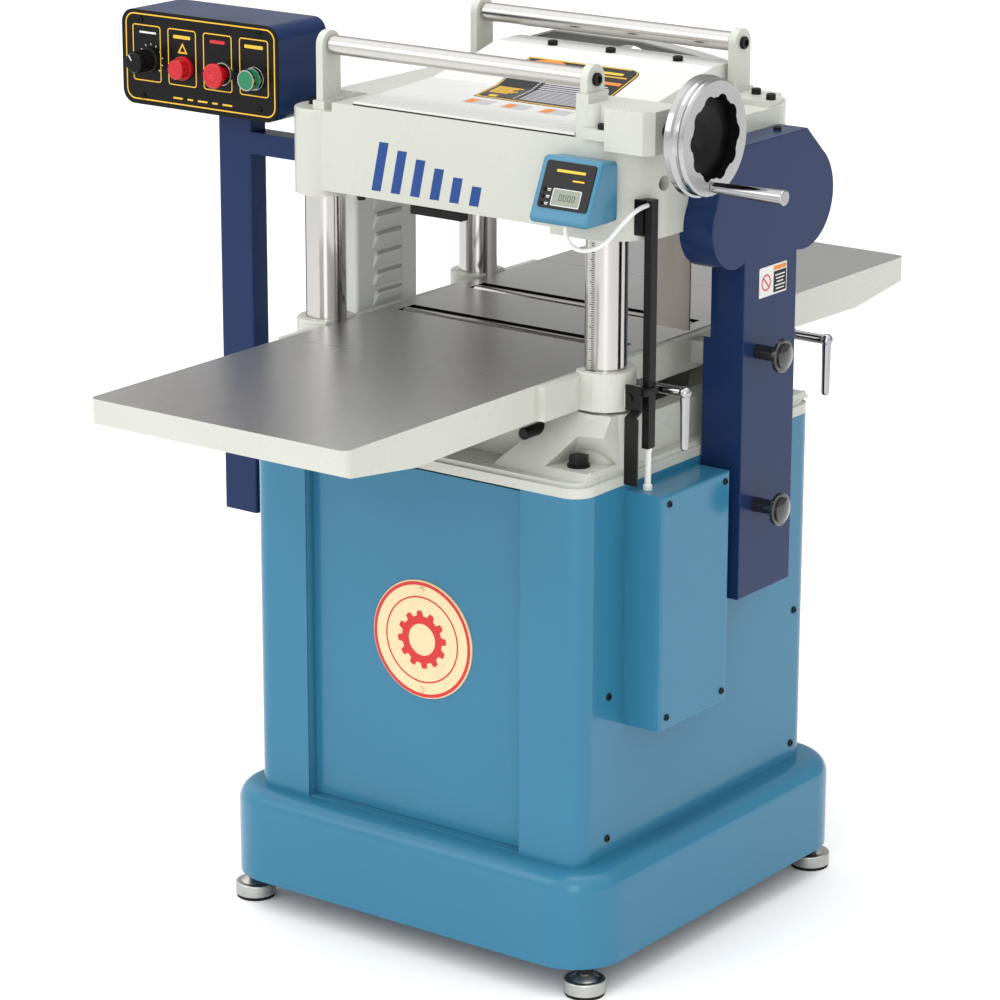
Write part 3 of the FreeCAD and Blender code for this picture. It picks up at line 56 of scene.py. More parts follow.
# ---------------------------------------------------------------- camera
CAM_AZIMUTH = math.radians(36.403)
CAM_ELEVATION = math.radians(16.647)
CAM_ROLL = math.radians(0.1345)
CAM_LENS = 135.82
CAM_POSITION = at(2903.0, -4024.0, 2043.1)


def make_camera():
    data = bpy.data.cameras.new("camera")
    data.lens = CAM_LENS
    data.sensor_width = 36.0
    data.clip_start = 0.1
    data.clip_end = 100.0
    cam = bpy.data.objects.new("camera", data)
    bpy.context.scene.collection.objects.link(cam)
    forward = Vector((-math.sin(CAM_AZIMUTH) * math.cos(CAM_ELEVATION),
                      math.cos(CAM_AZIMUTH) * math.cos(CAM_ELEVATION), -math.sin(CAM_ELEVATION)))
    level = Vector((math.cos(CAM_AZIMUTH), math.sin(CAM_AZIMUTH), 0.0))
    raised = level.cross(forward)
    right = level * math.cos(CAM_ROLL) + raised * math.sin(CAM_ROLL)
    up = raised * math.cos(CAM_ROLL) - level * math.sin(CAM_ROLL)
    turn = Matrix((right, up, -forward)).transposed().to_4x4()
    cam.matrix_world = Matrix.Translation(CAM_POSITION) @ turn
    bpy.context.scene.camera = cam


make_camera()


# ---------------------------------------------------------------- materials
class Shader:
    """Small helper round a Principled material and its node tree."""

    def __init__(self, name):
        self.mat = bpy.data.materials.new(name)
        self.mat.use_nodes = True
        self.tree = self.mat.node_tree
        self.bsdf = self.tree.nodes["Principled BSDF"]
        self.coord = self.tree.nodes.new("ShaderNodeTexCoord").outputs["Object"]

    def node(self, kind, **values):
        made = self.tree.nodes.new(kind)
        for key, value in values.items():
            setattr(made, key, value)
        return made

    def link(self, a, b):
        self.tree.links.new(a, b)

    def mapped(self, scale):
        m = self.node("ShaderNodeMapping")
        m.inputs["Scale"].default_value = scale
        self.link(self.coord, m.inputs["Vector"])
        return m.outputs["Vector"]

    def noise(self, scale, detail=3.0, stretch=(1, 1, 1)):
        n = self.node("ShaderNodeTexNoise")
        n.inputs["Scale"].default_value = scale
        n.inputs["Detail"].default_value = detail
        self.link(self.mapped(stretch), n.inputs["Vector"])
        return n.outputs["Fac"]

    def spread(self, source, low, high, from_low=0.3, from_high=0.7):
        m = self.node("ShaderNodeMapRange")
        m.inputs["From Min"].default_value = from_low
        m.inputs["From Max"].default_value = from_high
        m.inputs["To Min"].default_value = low
        m.inputs["To Max"].default_value = high
        self.link(source, m.inputs["Value"])
        return m.outputs["Result"]

    def colour(self, rgb, tint=0.06, scale=4.0, stretch=(1, 1, 1)):
        """Base colour whose brightness drifts a little over the surface."""
        hsv = self.node("ShaderNodeHueSaturation")
        hsv.inputs["Color"].default_value = (*rgb, 1.0)
        self.link(self.spread(self.noise(scale, 4.0, stretch), 1 - tint, 1 + tint), hsv.inputs["Value"])
        self.link(hsv.outputs["Color"], self.bsdf.inputs["Base Color"])

    def roughness(self, low, high, scale=12.0, stretch=(1, 1, 1)):
        self.link(self.spread(self.noise(scale, 5.0, stretch), low, high), self.bsdf.inputs["Roughness"])

    def bump(self, layers):
        """layers: (noise scale, height in metres, stretch)."""
        normal = None
        for scale, height, stretch in layers:
            b = self.node("ShaderNodeBump")
            b.inputs["Distance"].default_value = height
            b.inputs["Strength"].default_value = 1.0
            self.link(self.noise(scale, 3.0, stretch), b.inputs["Height"])
            if normal is not None:
                self.link(normal, b.inputs["Normal"])
            normal = b.outputs["Normal"]
        self.link(normal, self.bsdf.inputs["Normal"])


def paint(name, rgb, rough=(0.22, 0.30), coat=0.12, gloss=0.3, peel=0.000012, tint=0.02, texture=0.0):
    """Gloss machine enamel with orange peel, or a cast surface under paint when texture > 0."""
    s = Shader(name)
    s.colour(rgb, tint, 5.0)
    s.roughness(*rough)
    layers = [(160.0, peel, (1, 1, 1))]
    if texture:
        layers.append((700.0, texture, (1, 1, 1)))
    s.bump(layers)
    s.bsdf.inputs["Specular IOR Level"].default_value = gloss
    s.bsdf.inputs["Coat Weight"].default_value = coat
    s.bsdf.inputs["Coat Roughness"].default_value = 0.1
    return s.mat


def metal(name, rgb, rough=(0.18, 0.3), grain=(1, 1, 1), scratch=0.000004, tint=0.06):
    """Bare metal with directional grain; grain is the noise stretch along X, Y, Z."""
    s = Shader(name)
    s.bsdf.inputs["Metallic"].default_value = 1.0
    s.colour(rgb, tint, 30.0, grain)
    s.roughness(*rough, 60.0, grain)
    s.bump([(300.0, scratch, grain)])
    return s.mat


def plastic(name, rgb, rough=(0.3, 0.45), grain=0.000004, coat=0.0, gloss=0.3):
    s = Shader(name)
    s.colour(rgb, 0.04, 40.0)
    s.roughness(*rough, 50.0)
    s.bump([(1200.0, grain, (1, 1, 1))])
    s.bsdf.inputs["Specular IOR Level"].default_value = gloss
    s.bsdf.inputs["Coat Weight"].default_value = coat
    return s.mat


M = {
    "blue": paint("enamel_blue", (0.027, 0.152, 0.256), rough=(0.16, 0.24), coat=0.1, gloss=0.26),
    "navy": paint("enamel_navy", (0.008, 0.022, 0.075), rough=(0.2, 0.28), coat=0.05, gloss=0.14),
    "cream": paint("enamel_cream", (0.47, 0.48, 0.43), rough=(0.24, 0.34), texture=0.00003),
    # Top cover: smooth sheet in the head's cream, made lighter to paint in the light that falls on the top.
    "cream_sheet_lit_top": paint("enamel_cream_sheet_lit_top", (0.59, 0.595, 0.565), rough=(0.2, 0.3)),
    "grey_sheet": paint("enamel_grey", (0.66, 0.67, 0.645), rough=(0.34, 0.46), coat=0.1),
    # Grey of the dust hood; also used for the painted shade strips at the louver slots.
    "hood": paint("enamel_hood", (0.34, 0.345, 0.33), rough=(0.3, 0.42)),
    "dro_blue": paint("shell_light_blue", (0.045, 0.175, 0.275), rough=(0.24, 0.34)),
    "table": metal("ground_cast_iron", (0.55, 0.545, 0.535), rough=(0.30, 0.37), grain=(14, 0.5, 1),
                   tint=0.05, scratch=0.0000006),
    "column": metal("ground_steel", (0.47, 0.455, 0.44), rough=(0.1, 0.15), grain=(1, 1, 0.15), tint=0.03,
                    scratch=0.0000008),
    "turned": metal("turned_steel_x", (0.50, 0.48, 0.46), rough=(0.2, 0.26), grain=(6, 1, 1), tint=0.03,
                    scratch=0.0000006),
    "polished": metal("polished_rim", (0.40, 0.40, 0.40), rough=(0.1, 0.15), grain=(6, 1, 1), tint=0.03,
                      scratch=0.000001),
    "satin_ring": metal("satin_ring", (0.42, 0.42, 0.42), rough=(0.34, 0.42), grain=(1, 3, 3), tint=0.04,
                        scratch=0.000002),
    "chrome": metal("chrome_plate", (0.36, 0.36, 0.37), rough=(0.06, 0.1), tint=0.02, scratch=0.0000005),
    "sheet_steel": metal("rolled_steel", (0.25, 0.225, 0.205), rough=(0.3, 0.42), grain=(1, 1, 0.1)),
    "zinc": metal("zinc_plate", (0.46, 0.46, 0.44), rough=(0.25, 0.4)),
    "oxide": paint("black_oxide", (0.006, 0.006, 0.006), rough=(0.25, 0.38), coat=0.0, gloss=0.16),
    "black_cast": paint("black_cast", (0.0022, 0.0022, 0.0024), rough=(0.35, 0.5), coat=0.0, gloss=0.2,
                        texture=0.0006),
    "black_satin": plastic("black_satin", (0.006, 0.006, 0.0065), rough=(0.2, 0.3), gloss=0.12),
    "knob_black": plastic("knob_black", (0.008, 0.008, 0.008), rough=(0.1, 0.16), gloss=0.6, coat=0.5),
    "black_gloss": plastic("black_gloss", (0.006, 0.006, 0.0065), rough=(0.14, 0.2), gloss=0.2),
    # Near-black: painted shade on the walls of the roller slots, and the dark joint between the top cover
    # and the head.
    "slot": paint("slot_shade_and_joint_dark", (0.003, 0.003, 0.003), rough=(0.5, 0.6), coat=0.0, gloss=0.05),
    "rubber": plastic("black_rubber", (0.010, 0.010, 0.010), rough=(0.6, 0.75), grain=0.00002, gloss=0.15),
    "motor": paint("motor_grey", (0.16, 0.18, 0.19), rough=(0.4, 0.55), coat=0.0),
    "red": plastic("red_plastic", (0.42, 0.004, 0.010), rough=(0.14, 0.22), coat=0.25),
    "red_print": plastic("printed_red", (0.50, 0.02, 0.03), rough=(0.3, 0.4)),
    "green": plastic("green_plastic", (0.004, 0.17, 0.065), rough=(0.16, 0.24), coat=0.25),
    "white": plastic("white_plastic", (0.66, 0.66, 0.64), rough=(0.3, 0.42)),
    "badge_cream": plastic("badge_cream", (0.68, 0.54, 0.32), rough=(0.22, 0.34)),
    "badge_red": plastic("badge_red", (0.52, 0.022, 0.022), rough=(0.22, 0.34)),
    "mark_blue": plastic("printed_blue", (0.006, 0.045, 0.200), rough=(0.25, 0.35)),
    "yellow": plastic("printed_yellow", (0.72, 0.42, 0.035), rough=(0.3, 0.42)),
    "orange": plastic("printed_orange", (0.60, 0.19, 0.02), rough=(0.3, 0.42)),
    "lcd": plastic("lcd_glass", (0.19, 0.22, 0.17), rough=(0.1, 0.16), coat=0.4),
    "grey_rows": plastic("printed_grey", (0.40, 0.40, 0.42), rough=(0.3, 0.42)),
    "label": plastic("pale_label", (0.60, 0.60, 0.58), rough=(0.35, 0.5)),
}


# ---------------------------------------------------------------- mesh helpers
SHARP_ANGLE = math.radians(35)


def add_piece(name, bm, body, mat, bevel=0.0, segments=2):
    """Turns a bmesh in the row frame into a piece that rides on a body."""
    bmesh.ops.recalc_face_normals(bm, faces=bm.faces)
    mesh = bpy.data.meshes.new(name)
    bm.to_mesh(mesh)
    bm.free()
    mesh.materials.append(M[mat])
    obj = bpy.data.objects.new(name, mesh)
    bpy.context.scene.collection.objects.link(obj)
    mesh.shade_smooth()
    mesh.set_sharp_from_angle(angle=SHARP_ANGLE)
    if bevel:
        mod = obj.modifiers.new("edge", "BEVEL")
        mod.width = bevel * MM
        mod.segments = segments
        mod.limit_method = "ANGLE"
        mod.angle_limit = SHARP_ANGLE
        mod.harden_normals = True
    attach(obj, body)
    return obj


def placed(origin, right, up):
    """Matrix from local millimetres (u right, v up, w out) to the row frame."""
    right, up = right.normalized(), up.normalized()
    out = right.cross(up)
    turn = Matrix((right, up, out)).transposed().to_4x4()
    return Matrix.Translation(origin) @ turn @ Matrix.Scale(MM, 4)


def rounded_rect(w, h, r, steps=6):
    """Outline of a rectangle w by h with corner radius r, steps points per corner arc."""
    pts = []
    for cx, cy, a0 in ((w / 2 - r, h / 2 - r, 0), (r - w / 2, h / 2 - r, 90),
                       (r - w / 2, r - h / 2, 180), (w / 2 - r, r - h / 2, 270)):
        for k in range(steps + 1):
            a = math.radians(a0 + 90.0 * k / steps)
            pts.append((cx + r * math.cos(a), cy + r * math.sin(a)))
    return pts


def circle(r, steps=64):
    return [(r * math.cos(math.tau * k / steps), r * math.sin(math.tau * k / steps)) for k in range(steps)]


def extrude_outline(bm, points, z0, z1, matrix, shift=(0.0, 0.0)):
    """Closed solid from an outline between two heights."""
    low = [bm.verts.new(matrix @ Vector((x + shift[0], y + shift[1], z0))) for x, y in points]
    top = [bm.verts.new(matrix @ Vector((x + shift[0], y + shift[1], z1))) for x, y in points]
    bm.faces.new(low[::-1])
    bm.faces.new(top)
    for k in range(len(points)):
        j = (k + 1) % len(points)
        bm.faces.new((low[k], low[j], top[j], top[k]))


def extrude_band(bm, outer, inner, z0, z1, matrix, shift=(0.0, 0.0)):
    """Closed ring-shaped solid between two outlines with the same number of points."""
    rows = []
    for pts, z in ((outer, z0), (outer, z1), (inner, z1), (inner, z0)):
        rows.append([bm.verts.new(matrix @ Vector((x + shift[0], y + shift[1], z))) for x, y in pts])
    n = len(outer)
    for a in range(4):
        b = (a + 1) % 4
        for k in range(n):
            j = (k + 1) % n
            bm.faces.new((rows[a][k], rows[a][j], rows[b][j], rows[b][k]))


def lathe(bm, profile, matrix, steps=64):
    """Solid of revolution about the local out axis; profile is (radius, height), ends on the axis."""
    rings = []
    for r, z in profile:
        if r < 1e-6:
            rings.append([bm.verts.new(matrix @ Vector((0, 0, z)))])
        else:
            rings.append([bm.verts.new(matrix @ Vector((x, y, z))) for x, y in circle(r, steps)])
    for a, b in zip(rings, rings[1:]):
        for k in range(steps):
            j = (k + 1) % steps
            if len(a) == 1:
                bm.faces.new((a[0], b[k], b[j]))
            elif len(b) == 1:
                bm.faces.new((a[k], a[j], b[0]))
            else:
                bm.faces.new((a[k], a[j], b[j], b[k]))


X = Vector((1, 0, 0))
Y = Vector((0, 1, 0))
Z = Vector((0, 0, 1))


# ---------------------------------------------------------------- cable of the readout
CABLE_DIAMETER = 0.006
CABLE_ROUTE = [(226.0, -258.0, 1021.0), (226.0, -258.0, 1001.0), (240.0, -245.0, 985.0),
               (262.0, -226.0, 992.0), (280.0, -215.0, 1018.0), (293.0, -196.0, 1040.0),
               (293.0, -173.0, 1040.0)]


def readout_cable():
    """Thin white cable from the readout down and round to the scale bar."""
    curve = bpy.data.curves.new("readout_cable", "CURVE")
    curve.dimensions = "3D"
    curve.bevel_depth = CABLE_DIAMETER / 2
    curve.bevel_resolution = 6
    curve.use_fill_caps = True
    spline = curve.splines.new("NURBS")
    spline.points.add(len(CABLE_ROUTE) - 1)
    for point, place in zip(spline.points, CABLE_ROUTE):
        point.co = (*at(*place), 1.0)
    spline.order_u = 3
    spline.use_endpoint_u = True
    spline.resolution_u = 16
    curve.materials.append(M["white"])
    obj = bpy.data.objects.new("readout_cable", curve)
    bpy.context.scene.collection.objects.link(obj)
    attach(obj, "frame")
    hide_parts("dro_cable")


readout_cable()


# ---------------------------------------------------------------- CAD nodes: finishes
FINISH = {
    "blue": ["stand_plinth", "cabinet_body", "cabinet_front_panel", "electrical_box"],
    "navy": ["belt_guard", "control_post", "control_box"],
    "cream": ["base_casting", "head_casting", "gear_housing", "roller_brackets",
              "table_casting", "infeed_extension", "outfeed_extension"],
    "cream_sheet_lit_top": ["top_cover"],
    "grey_sheet": ["feed_motor_cover"],
    "hood": ["dust_hood"],
    "dro_blue": ["dro_housing"],
    "column": ["guide_columns", "elevation_drive_shaft", "elevation_screws"],
    "turned": ["infeed_bed_roller", "outfeed_bed_roller", "front_return_roller", "rear_return_roller",
               "cutterhead", "infeed_roller"],
    "chrome": ["handwheel_handle", "front_lock_lever", "rear_lock_lever"],
    "polished": ["handwheel"],
    "sheet_steel": ["drive_side_cover", "kickback_fingers"],
    "zinc": ["levelling_feet", "sprocket_nut_left", "sprocket_nut_right", "elevation_chains"],
    "oxide": ["machine_screws", "lifting_bar_front_left", "lifting_bar_front_right", "scale_reader",
              "depth_limiter"],
    "knob_black": ["guard_knob_upper", "guard_knob_lower"],
    "black_satin": ["scale_bar", "speed_knob", "control_plate",
                    "dro_button_upper", "dro_button_middle", "dro_button_lower"],
    "rubber": ["feet_soles", "drive_belts", "outfeed_roller"],
    "motor": ["motor", "motor_pulley"],
    "red": ["power_lamp", "stop_button"],
    "green": ["start_button"],
    "badge_cream": ["badge"],
    "white": ["dro_cable"],
}


def finish_nodes():
    for key, names in FINISH.items():
        for name in names:
            obj = NODES[name]
            obj.data.materials.clear()
            obj.data.materials.append(M[key])


def paint_faces(name, key, test):
    """Gives the faces that pass the test (centre, normal in machine millimetres) another finish."""
    mesh = NODES[name].data
    mesh.materials.append(M[key])
    index = len(mesh.materials) - 1
    for face in mesh.polygons:
        if test(face.center / MM - SHIFT, face.normal):
            face.material_index = index


finish_nodes()

# ---------------------------------------------------------------- finishes of single faces
FACING = 0.9
TABLE_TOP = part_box("infeed_extension")[1].z / MM
TABLE_HALF_WIDTH = 206.0
BED_ROLLER_Y = (-59.0, 103.0)
SLOT_HALF_WIDTH = 18.5
SLOT_HALF_LENGTH = 183.0
SLOT_DEPTH = 0.3
WHEEL_AXIS = (-174.0, 1138.0)
WHEEL_FACE = 393.0
WHEEL_BOWL_X = 360.0
WHEEL_BOWL_R = 57.6
WHEEL_HUB_X = 365.8
WHEEL_HUB_R = 61.0
FOOT_STUD_Z = 29.0


def off_wheel_axis(c):
    return math.hypot(c.y - WHEEL_AXIS[0], c.z - WHEEL_AXIS[1])


def is_ground_face(c, n):
    level = TABLE_TOP - 0.4 < c.z < TABLE_TOP + 0.5
    return level and n.z > FACING and abs(c.x) < TABLE_HALF_WIDTH


def paint_table():
    """Ground metal on the flat top of the table and its wings."""
    for name in ("table_casting", "infeed_extension", "outfeed_extension"):
        paint_faces(name, "table", is_ground_face)


def paint_slot_shade():
    """Painted shade: near-black walls in the two roller slots, standing in for the shade down in them."""
    for roller_y in BED_ROLLER_Y:
        paint_faces("table_casting", "slot",
                    lambda c, n, y=roller_y: c.z < TABLE_TOP - SLOT_DEPTH
                    and abs(c.y - y) < SLOT_HALF_WIDTH and abs(c.x) < SLOT_HALF_LENGTH)


def paint_wheel():
    """Satin face, black cast bowl and black hub in a polished rim."""
    paint_faces("handwheel", "satin_ring", lambda c, n: c.x > WHEEL_FACE - 0.3 and n.x > FACING)
    paint_faces("handwheel", "black_cast",
                lambda c, n: WHEEL_BOWL_X < c.x < WHEEL_FACE - 0.4 and off_wheel_axis(c) < WHEEL_BOWL_R)
    paint_faces("handwheel", "black_satin",
                lambda c, n: c.x < WHEEL_HUB_X and off_wheel_axis(c) < WHEEL_HUB_R)


paint_table()
paint_wheel()
paint_slot_shade()
paint_faces("levelling_feet", "oxide", lambda c, n: c.z > FOOT_STUD_Z)


# ---------------------------------------------------------------- control box face
PLATE_Y = -205.0
PLATE_MIDDLE = (-418.0, 1147.0)
KNOB = (-505.0, 1145.0)
LAMP_X = -446.0
STOP_X = -375.0
START_X = -319.0
BUTTON_Z = 1139.0
FRAME_X = (-512.2, -449.0, -386.0, -322.5)
FRAME_Z = 1152.7
CAPTION_Z = 1180.5
CAPTION_HEIGHT = 4.6
FOOT_LINE_Z = 1096.5
DIAL_TICKS = 11
DIAL_START = 225
DIAL_SWEEP = 270
PRINT_LOW = -0.2
PRINT_HIGH = 0.35


def on_plate(x, z):
    """Offset of a place on the control plate from the middle of the plate."""
    return (x - PLATE_MIDDLE[0], z - PLATE_MIDDLE[1])


def plate_lines(m):
    """Yellow borders, captions, a triangle over the lamp and a broken line at the foot."""
    bm = bmesh.new()
    extrude_band(bm, rounded_rect(264, 119, 15), rounded_rect(260.4, 115.4, 13.2), PRINT_LOW, PRINT_HIGH, m)
    for x in FRAME_X:
        extrude_band(bm, rounded_rect(50.5, 77.5, 4.5), rounded_rect(47.5, 74.5, 3), PRINT_LOW, PRINT_HIGH,
                     m, on_plate(x, FRAME_Z))
    for x, w in ((FRAME_X[1], 30.0), (FRAME_X[3], 32.0)):
        extrude_outline(bm, rounded_rect(w, CAPTION_HEIGHT, 1.2, 3), PRINT_LOW, PRINT_HIGH, m,
                        on_plate(x, CAPTION_Z))
    triangle = [(8.6, 0.0), (0.0, 14.4), (-8.6, 0.0)]
    small = [(5.0, 2.2), (0.0, 10.4), (-5.0, 2.2)]
    extrude_band(bm, triangle, small, PRINT_LOW, PRINT_HIGH, m, on_plate(-448.0, 1158.5))
    for k in range(5):
        extrude_outline(bm, rounded_rect(10.0 if k % 2 else 17.0, 2.4, 0.8, 2), PRINT_LOW, PRINT_HIGH, m,
                        on_plate(-458.0 + 22.0 * k, FOOT_LINE_Z))
    add_piece("panel_lines", bm, "frame", "yellow")


def stop_caption(m):
    bm = bmesh.new()
    extrude_outline(bm, rounded_rect(26, CAPTION_HEIGHT, 1.2, 3), PRINT_LOW, PRINT_HIGH, m,
                    on_plate(FRAME_X[2], CAPTION_Z))
    add_piece("panel_stop_mark", bm, "frame", "red_print")


def dial_ticks(m):
    """White ticks round the speed knob, with its caption."""
    bm = bmesh.new()
    for k in range(DIAL_TICKS):
        a = math.radians(DIAL_START - DIAL_SWEEP * k / (DIAL_TICKS - 1))
        u, v = math.cos(a), math.sin(a)
        spoke = X * u + Z * v
        seat = placed(at(KNOB[0], PLATE_Y, KNOB[1]) + spoke * 20.5 * MM, X * v - Z * u, spoke)
        extrude_outline(bm, rounded_rect(0.9, 3.2, 0.3, 3), PRINT_LOW, PRINT_HIGH, seat)
    extrude_outline(bm, rounded_rect(30.0, 2.6, 0.8, 2), PRINT_LOW, PRINT_HIGH, m, on_plate(-510.0, 1181.0))
    add_piece("dial_ticks", bm, "frame", "white")


def control_face():
    """Printed borders, dial ticks and plain symbols; no lettering."""
    m = placed(at(PLATE_MIDDLE[0], PLATE_Y, PLATE_MIDDLE[1]), X, Z)
    plate_lines(m)
    stop_caption(m)
    dial_ticks(m)


START_FACE_Y = PLATE_Y - 22.0
STOP_FACE_Y = PLATE_Y - 26.0


def control_parts():
    """Bezels of the lamp and buttons, and the trim that travels with the buttons."""
    bm = bmesh.new()
    m = placed(at(START_X, PLATE_Y, BUTTON_Z), X, Z)
    extrude_band(bm, circle(15.8), circle(12.2), 0.0, 4.2, m)
    add_piece("start_bezel", bm, "frame", "chrome", bevel=0.6)
    bm = bmesh.new()
    m = placed(at(START_X, START_FACE_Y, BUTTON_Z), X, Z)
    extrude_band(bm, circle(14.2), circle(12.3), -4.0, 0.5, m)
    extrude_band(bm, circle(14.9), circle(9.2), -14.4, -12.2, m)
    add_piece("start_ring", bm, "start_button", "chrome", bevel=0.3)
    bm = bmesh.new()
    m = placed(at(LAMP_X, PLATE_Y, BUTTON_Z), X, Z)
    extrude_band(bm, circle(16.4), circle(14.7), 0.0, 6.5, m)
    add_piece("lamp_bezel", bm, "frame", "red", bevel=0.6)
    bm = bmesh.new()
    m = placed(at(STOP_X, PLATE_Y, BUTTON_Z), X, Z)
    extrude_band(bm, circle(15.5), circle(14.2), 0.0, 5.0, m)
    add_piece("stop_bezel", bm, "frame", "zinc", bevel=0.5)
    bm = bmesh.new()
    m = placed(at(STOP_X, STOP_FACE_Y, BUTTON_Z), X, Z)
    extrude_band(bm, circle(13.4), circle(12.2), -0.3, 0.3, m)
    extrude_outline(bm, rounded_rect(9.0, 7.0, 1.0, 3), -0.3, 0.35, m)
    add_piece("stop_mark", bm, "stop_button", "red_print")


KNOB_PROFILE = [(0, 0), (16.5, 0), (16.5, 6.5), (15.4, 7.6), (14.4, 8.2), (14.0, 35.5), (12.6, 37.4),
                (0, 37.6)]
KNOB_FLUTES = 24
KNOB_POINTER_TURN = 35


def speed_knob():
    """Fluted control knob with a pointer line."""
    m = placed(at(KNOB[0], PLATE_Y - 0.4, KNOB[1]), X, Z)
    bm = bmesh.new()
    lathe(bm, KNOB_PROFILE, m, 72)
    add_piece("speed_knob_body", bm, "speed_knob", "black_satin", bevel=0.3)
    bm = bmesh.new()
    for k in range(KNOB_FLUTES):
        a = math.tau * k / KNOB_FLUTES
        seat = m @ Matrix.Rotation(a, 4, "Z") @ Matrix.Translation(Vector((14.4, 0, 0)))
        extrude_outline(bm, rounded_rect(1.6, 1.7, 0.5, 3), 8.4, 35.0, seat)
    add_piece("speed_knob_flutes", bm, "speed_knob", "black_satin")
    bm = bmesh.new()
    seat = m @ Matrix.Rotation(math.radians(KNOB_POINTER_TURN), 4, "Z")
    extrude_outline(bm, rounded_rect(1.4, 9.0, 0.6, 3), 37.4, 37.9, seat, (0.0, 8.0))
    pointer = add_piece("speed_knob_pointer", bm, "speed_knob", "white")
    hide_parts("speed_knob")


control_face()
control_parts()
speed_knob()


# ---------------------------------------------------------------- badge
BADGE_TEETH = 12
BADGE_TOOTH_STEPS = 8
BADGE_TOOTH_RADII = (40.0, 33.0)
BADGE_HUB_R = 22.0


def badge_marks():
    """Two red rings and a plain gear wheel."""
    lo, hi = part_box("badge")
    m = placed(Vector(((lo.x + hi.x) / 2, hi.y - 3.0 * MM, (lo.z + hi.z) / 2)), X, Z)
    bm = bmesh.new()
    extrude_band(bm, circle(80.0, 96), circle(75.5, 96), -0.3, 0.35, m)
    extrude_band(bm, circle(60.0, 96), circle(58.0, 96), -0.3, 0.35, m)
    outer = []
    inner = []
    steps = BADGE_TEETH * BADGE_TOOTH_STEPS
    for k in range(steps):
        a = math.tau * k / steps
        r = BADGE_TOOTH_RADII[(k // (BADGE_TOOTH_STEPS // 2)) % 2]
        outer.append((r * math.cos(a), r * math.sin(a)))
        inner.append((BADGE_HUB_R * math.cos(a), BADGE_HUB_R * math.sin(a)))
    extrude_band(bm, outer, inner, -0.3, 0.35, m)
    add_piece("badge_rings", bm, "frame", "badge_red")


badge_marks()


# ---------------------------------------------------------------- readout
DRO_TOP = (-237.0, 1102.0)
DRO_FOOT = (-273.0, 1021.0)
PANEL_X = 225.0
PANEL_DOWN = 36.5
PANEL_FACE = 1.5
WINDOW = (3.5, -52.0)
KEYS_DOWN = (43.5, 52.5, 61.5)
KEY_MARK_U = -24.5


def readout_window(m):
    """Bezel, glass and blank digits of the display."""
    bm = bmesh.new()
    extrude_band(bm, rounded_rect(43.5, 22.5, 1.8), rounded_rect(41.5, 20.5, 1.2), PANEL_FACE, 2.1, m,
                 WINDOW)
    add_piece("display_bezel", bm, "frame", "label", bevel=0.15)
    bm = bmesh.new()
    extrude_outline(bm, rounded_rect(42, 21, 1.0), PANEL_FACE, 1.8, m, WINDOW)
    add_piece("display_glass", bm, "frame", "lcd")
    bm = bmesh.new()
    for k in range(4):
        extrude_band(bm, rounded_rect(4.4, 8.0, 0.8, 2), rounded_rect(3.2, 6.8, 0.4, 2), 1.75, 1.95, m,
                     (-5.0 + 6.5 * k, WINDOW[1]))
    add_piece("display_digits", bm, "frame", "black_satin")


def readout_face():
    """Dark display panel; the local origin is on the upper edge of the sloped face."""
    down = (at(0, *DRO_FOOT) - at(0, *DRO_TOP)).normalized()
    m = placed(at(PANEL_X, *DRO_TOP), X, -down)
    bm = bmesh.new()
    extrude_outline(bm, rounded_rect(76, 61, 4), -0.5, 1.6, m, (0.0, -PANEL_DOWN))
    add_piece("display_panel", bm, "frame", "black_gloss", bevel=0.5)
    readout_window(m)
    bm = bmesh.new()
    extrude_outline(bm, rounded_rect(44, 3.4, 1.2, 3), PANEL_FACE, 1.8, m, (2.0, -18.0))
    extrude_outline(bm, rounded_rect(18, 2.0, 0.8, 3), PANEL_FACE, 1.8, m, (16.0, -29.0))
    add_piece("display_lines", bm, "frame", "yellow")
    bm = bmesh.new()
    for v in KEYS_DOWN:
        extrude_outline(bm, rounded_rect(6.0, 1.0, 0.3, 2), PANEL_FACE, 1.8, m, (KEY_MARK_U, 0.9 - v))
        extrude_outline(bm, rounded_rect(4.5, 1.0, 0.3, 2), PANEL_FACE, 1.8, m, (KEY_MARK_U, -1.1 - v))
    add_piece("display_key_marks", bm, "frame", "label")


readout_face()


# ---------------------------------------------------------------- ruler on the front right column
RULER_TICKS = 58
RULER_LENGTH = 168.0
LONG_TICK = 6.4
SHORT_TICK = 4.0


def column_ruler():
    """Pale strip with black ticks, on the front of the front right column."""
    m = placed(at(226.5, -199.3, 903.0), X, Z)
    bm = bmesh.new()
    extrude_outline(bm, rounded_rect(9.0, 172.0, 1.0, 3), -0.6, 0.4, m)
    add_piece("ruler_strip", bm, "frame", "zinc")
    bm = bmesh.new()
    for k in range(RULER_TICKS):
        v = -RULER_LENGTH / 2 + k * RULER_LENGTH / (RULER_TICKS - 1)
        long = LONG_TICK if k % 5 == 0 else SHORT_TICK
        extrude_outline(bm, rounded_rect(long, 1.1, 0.2, 2), 0.35, 0.6, m, (4.2 - long / 2, v))
    add_piece("ruler_ticks", bm, "frame", "black_satin")


column_ruler()


# ---------------------------------------------------------------- labels without lettering
COVER_LINE = [(-203.0, 1126.0), (-31.0, 1134.0), (69.0, 1154.0), (113.0, 1165.0)]


def cover_height(y):
    """Height of the top cover at y, from its side profile."""
    for (ya, za), (yb, zb) in zip(COVER_LINE, COVER_LINE[1:]):
        if y <= yb:
            return za + (zb - za) * (y - ya) / (yb - ya)
    return COVER_LINE[-1][1]


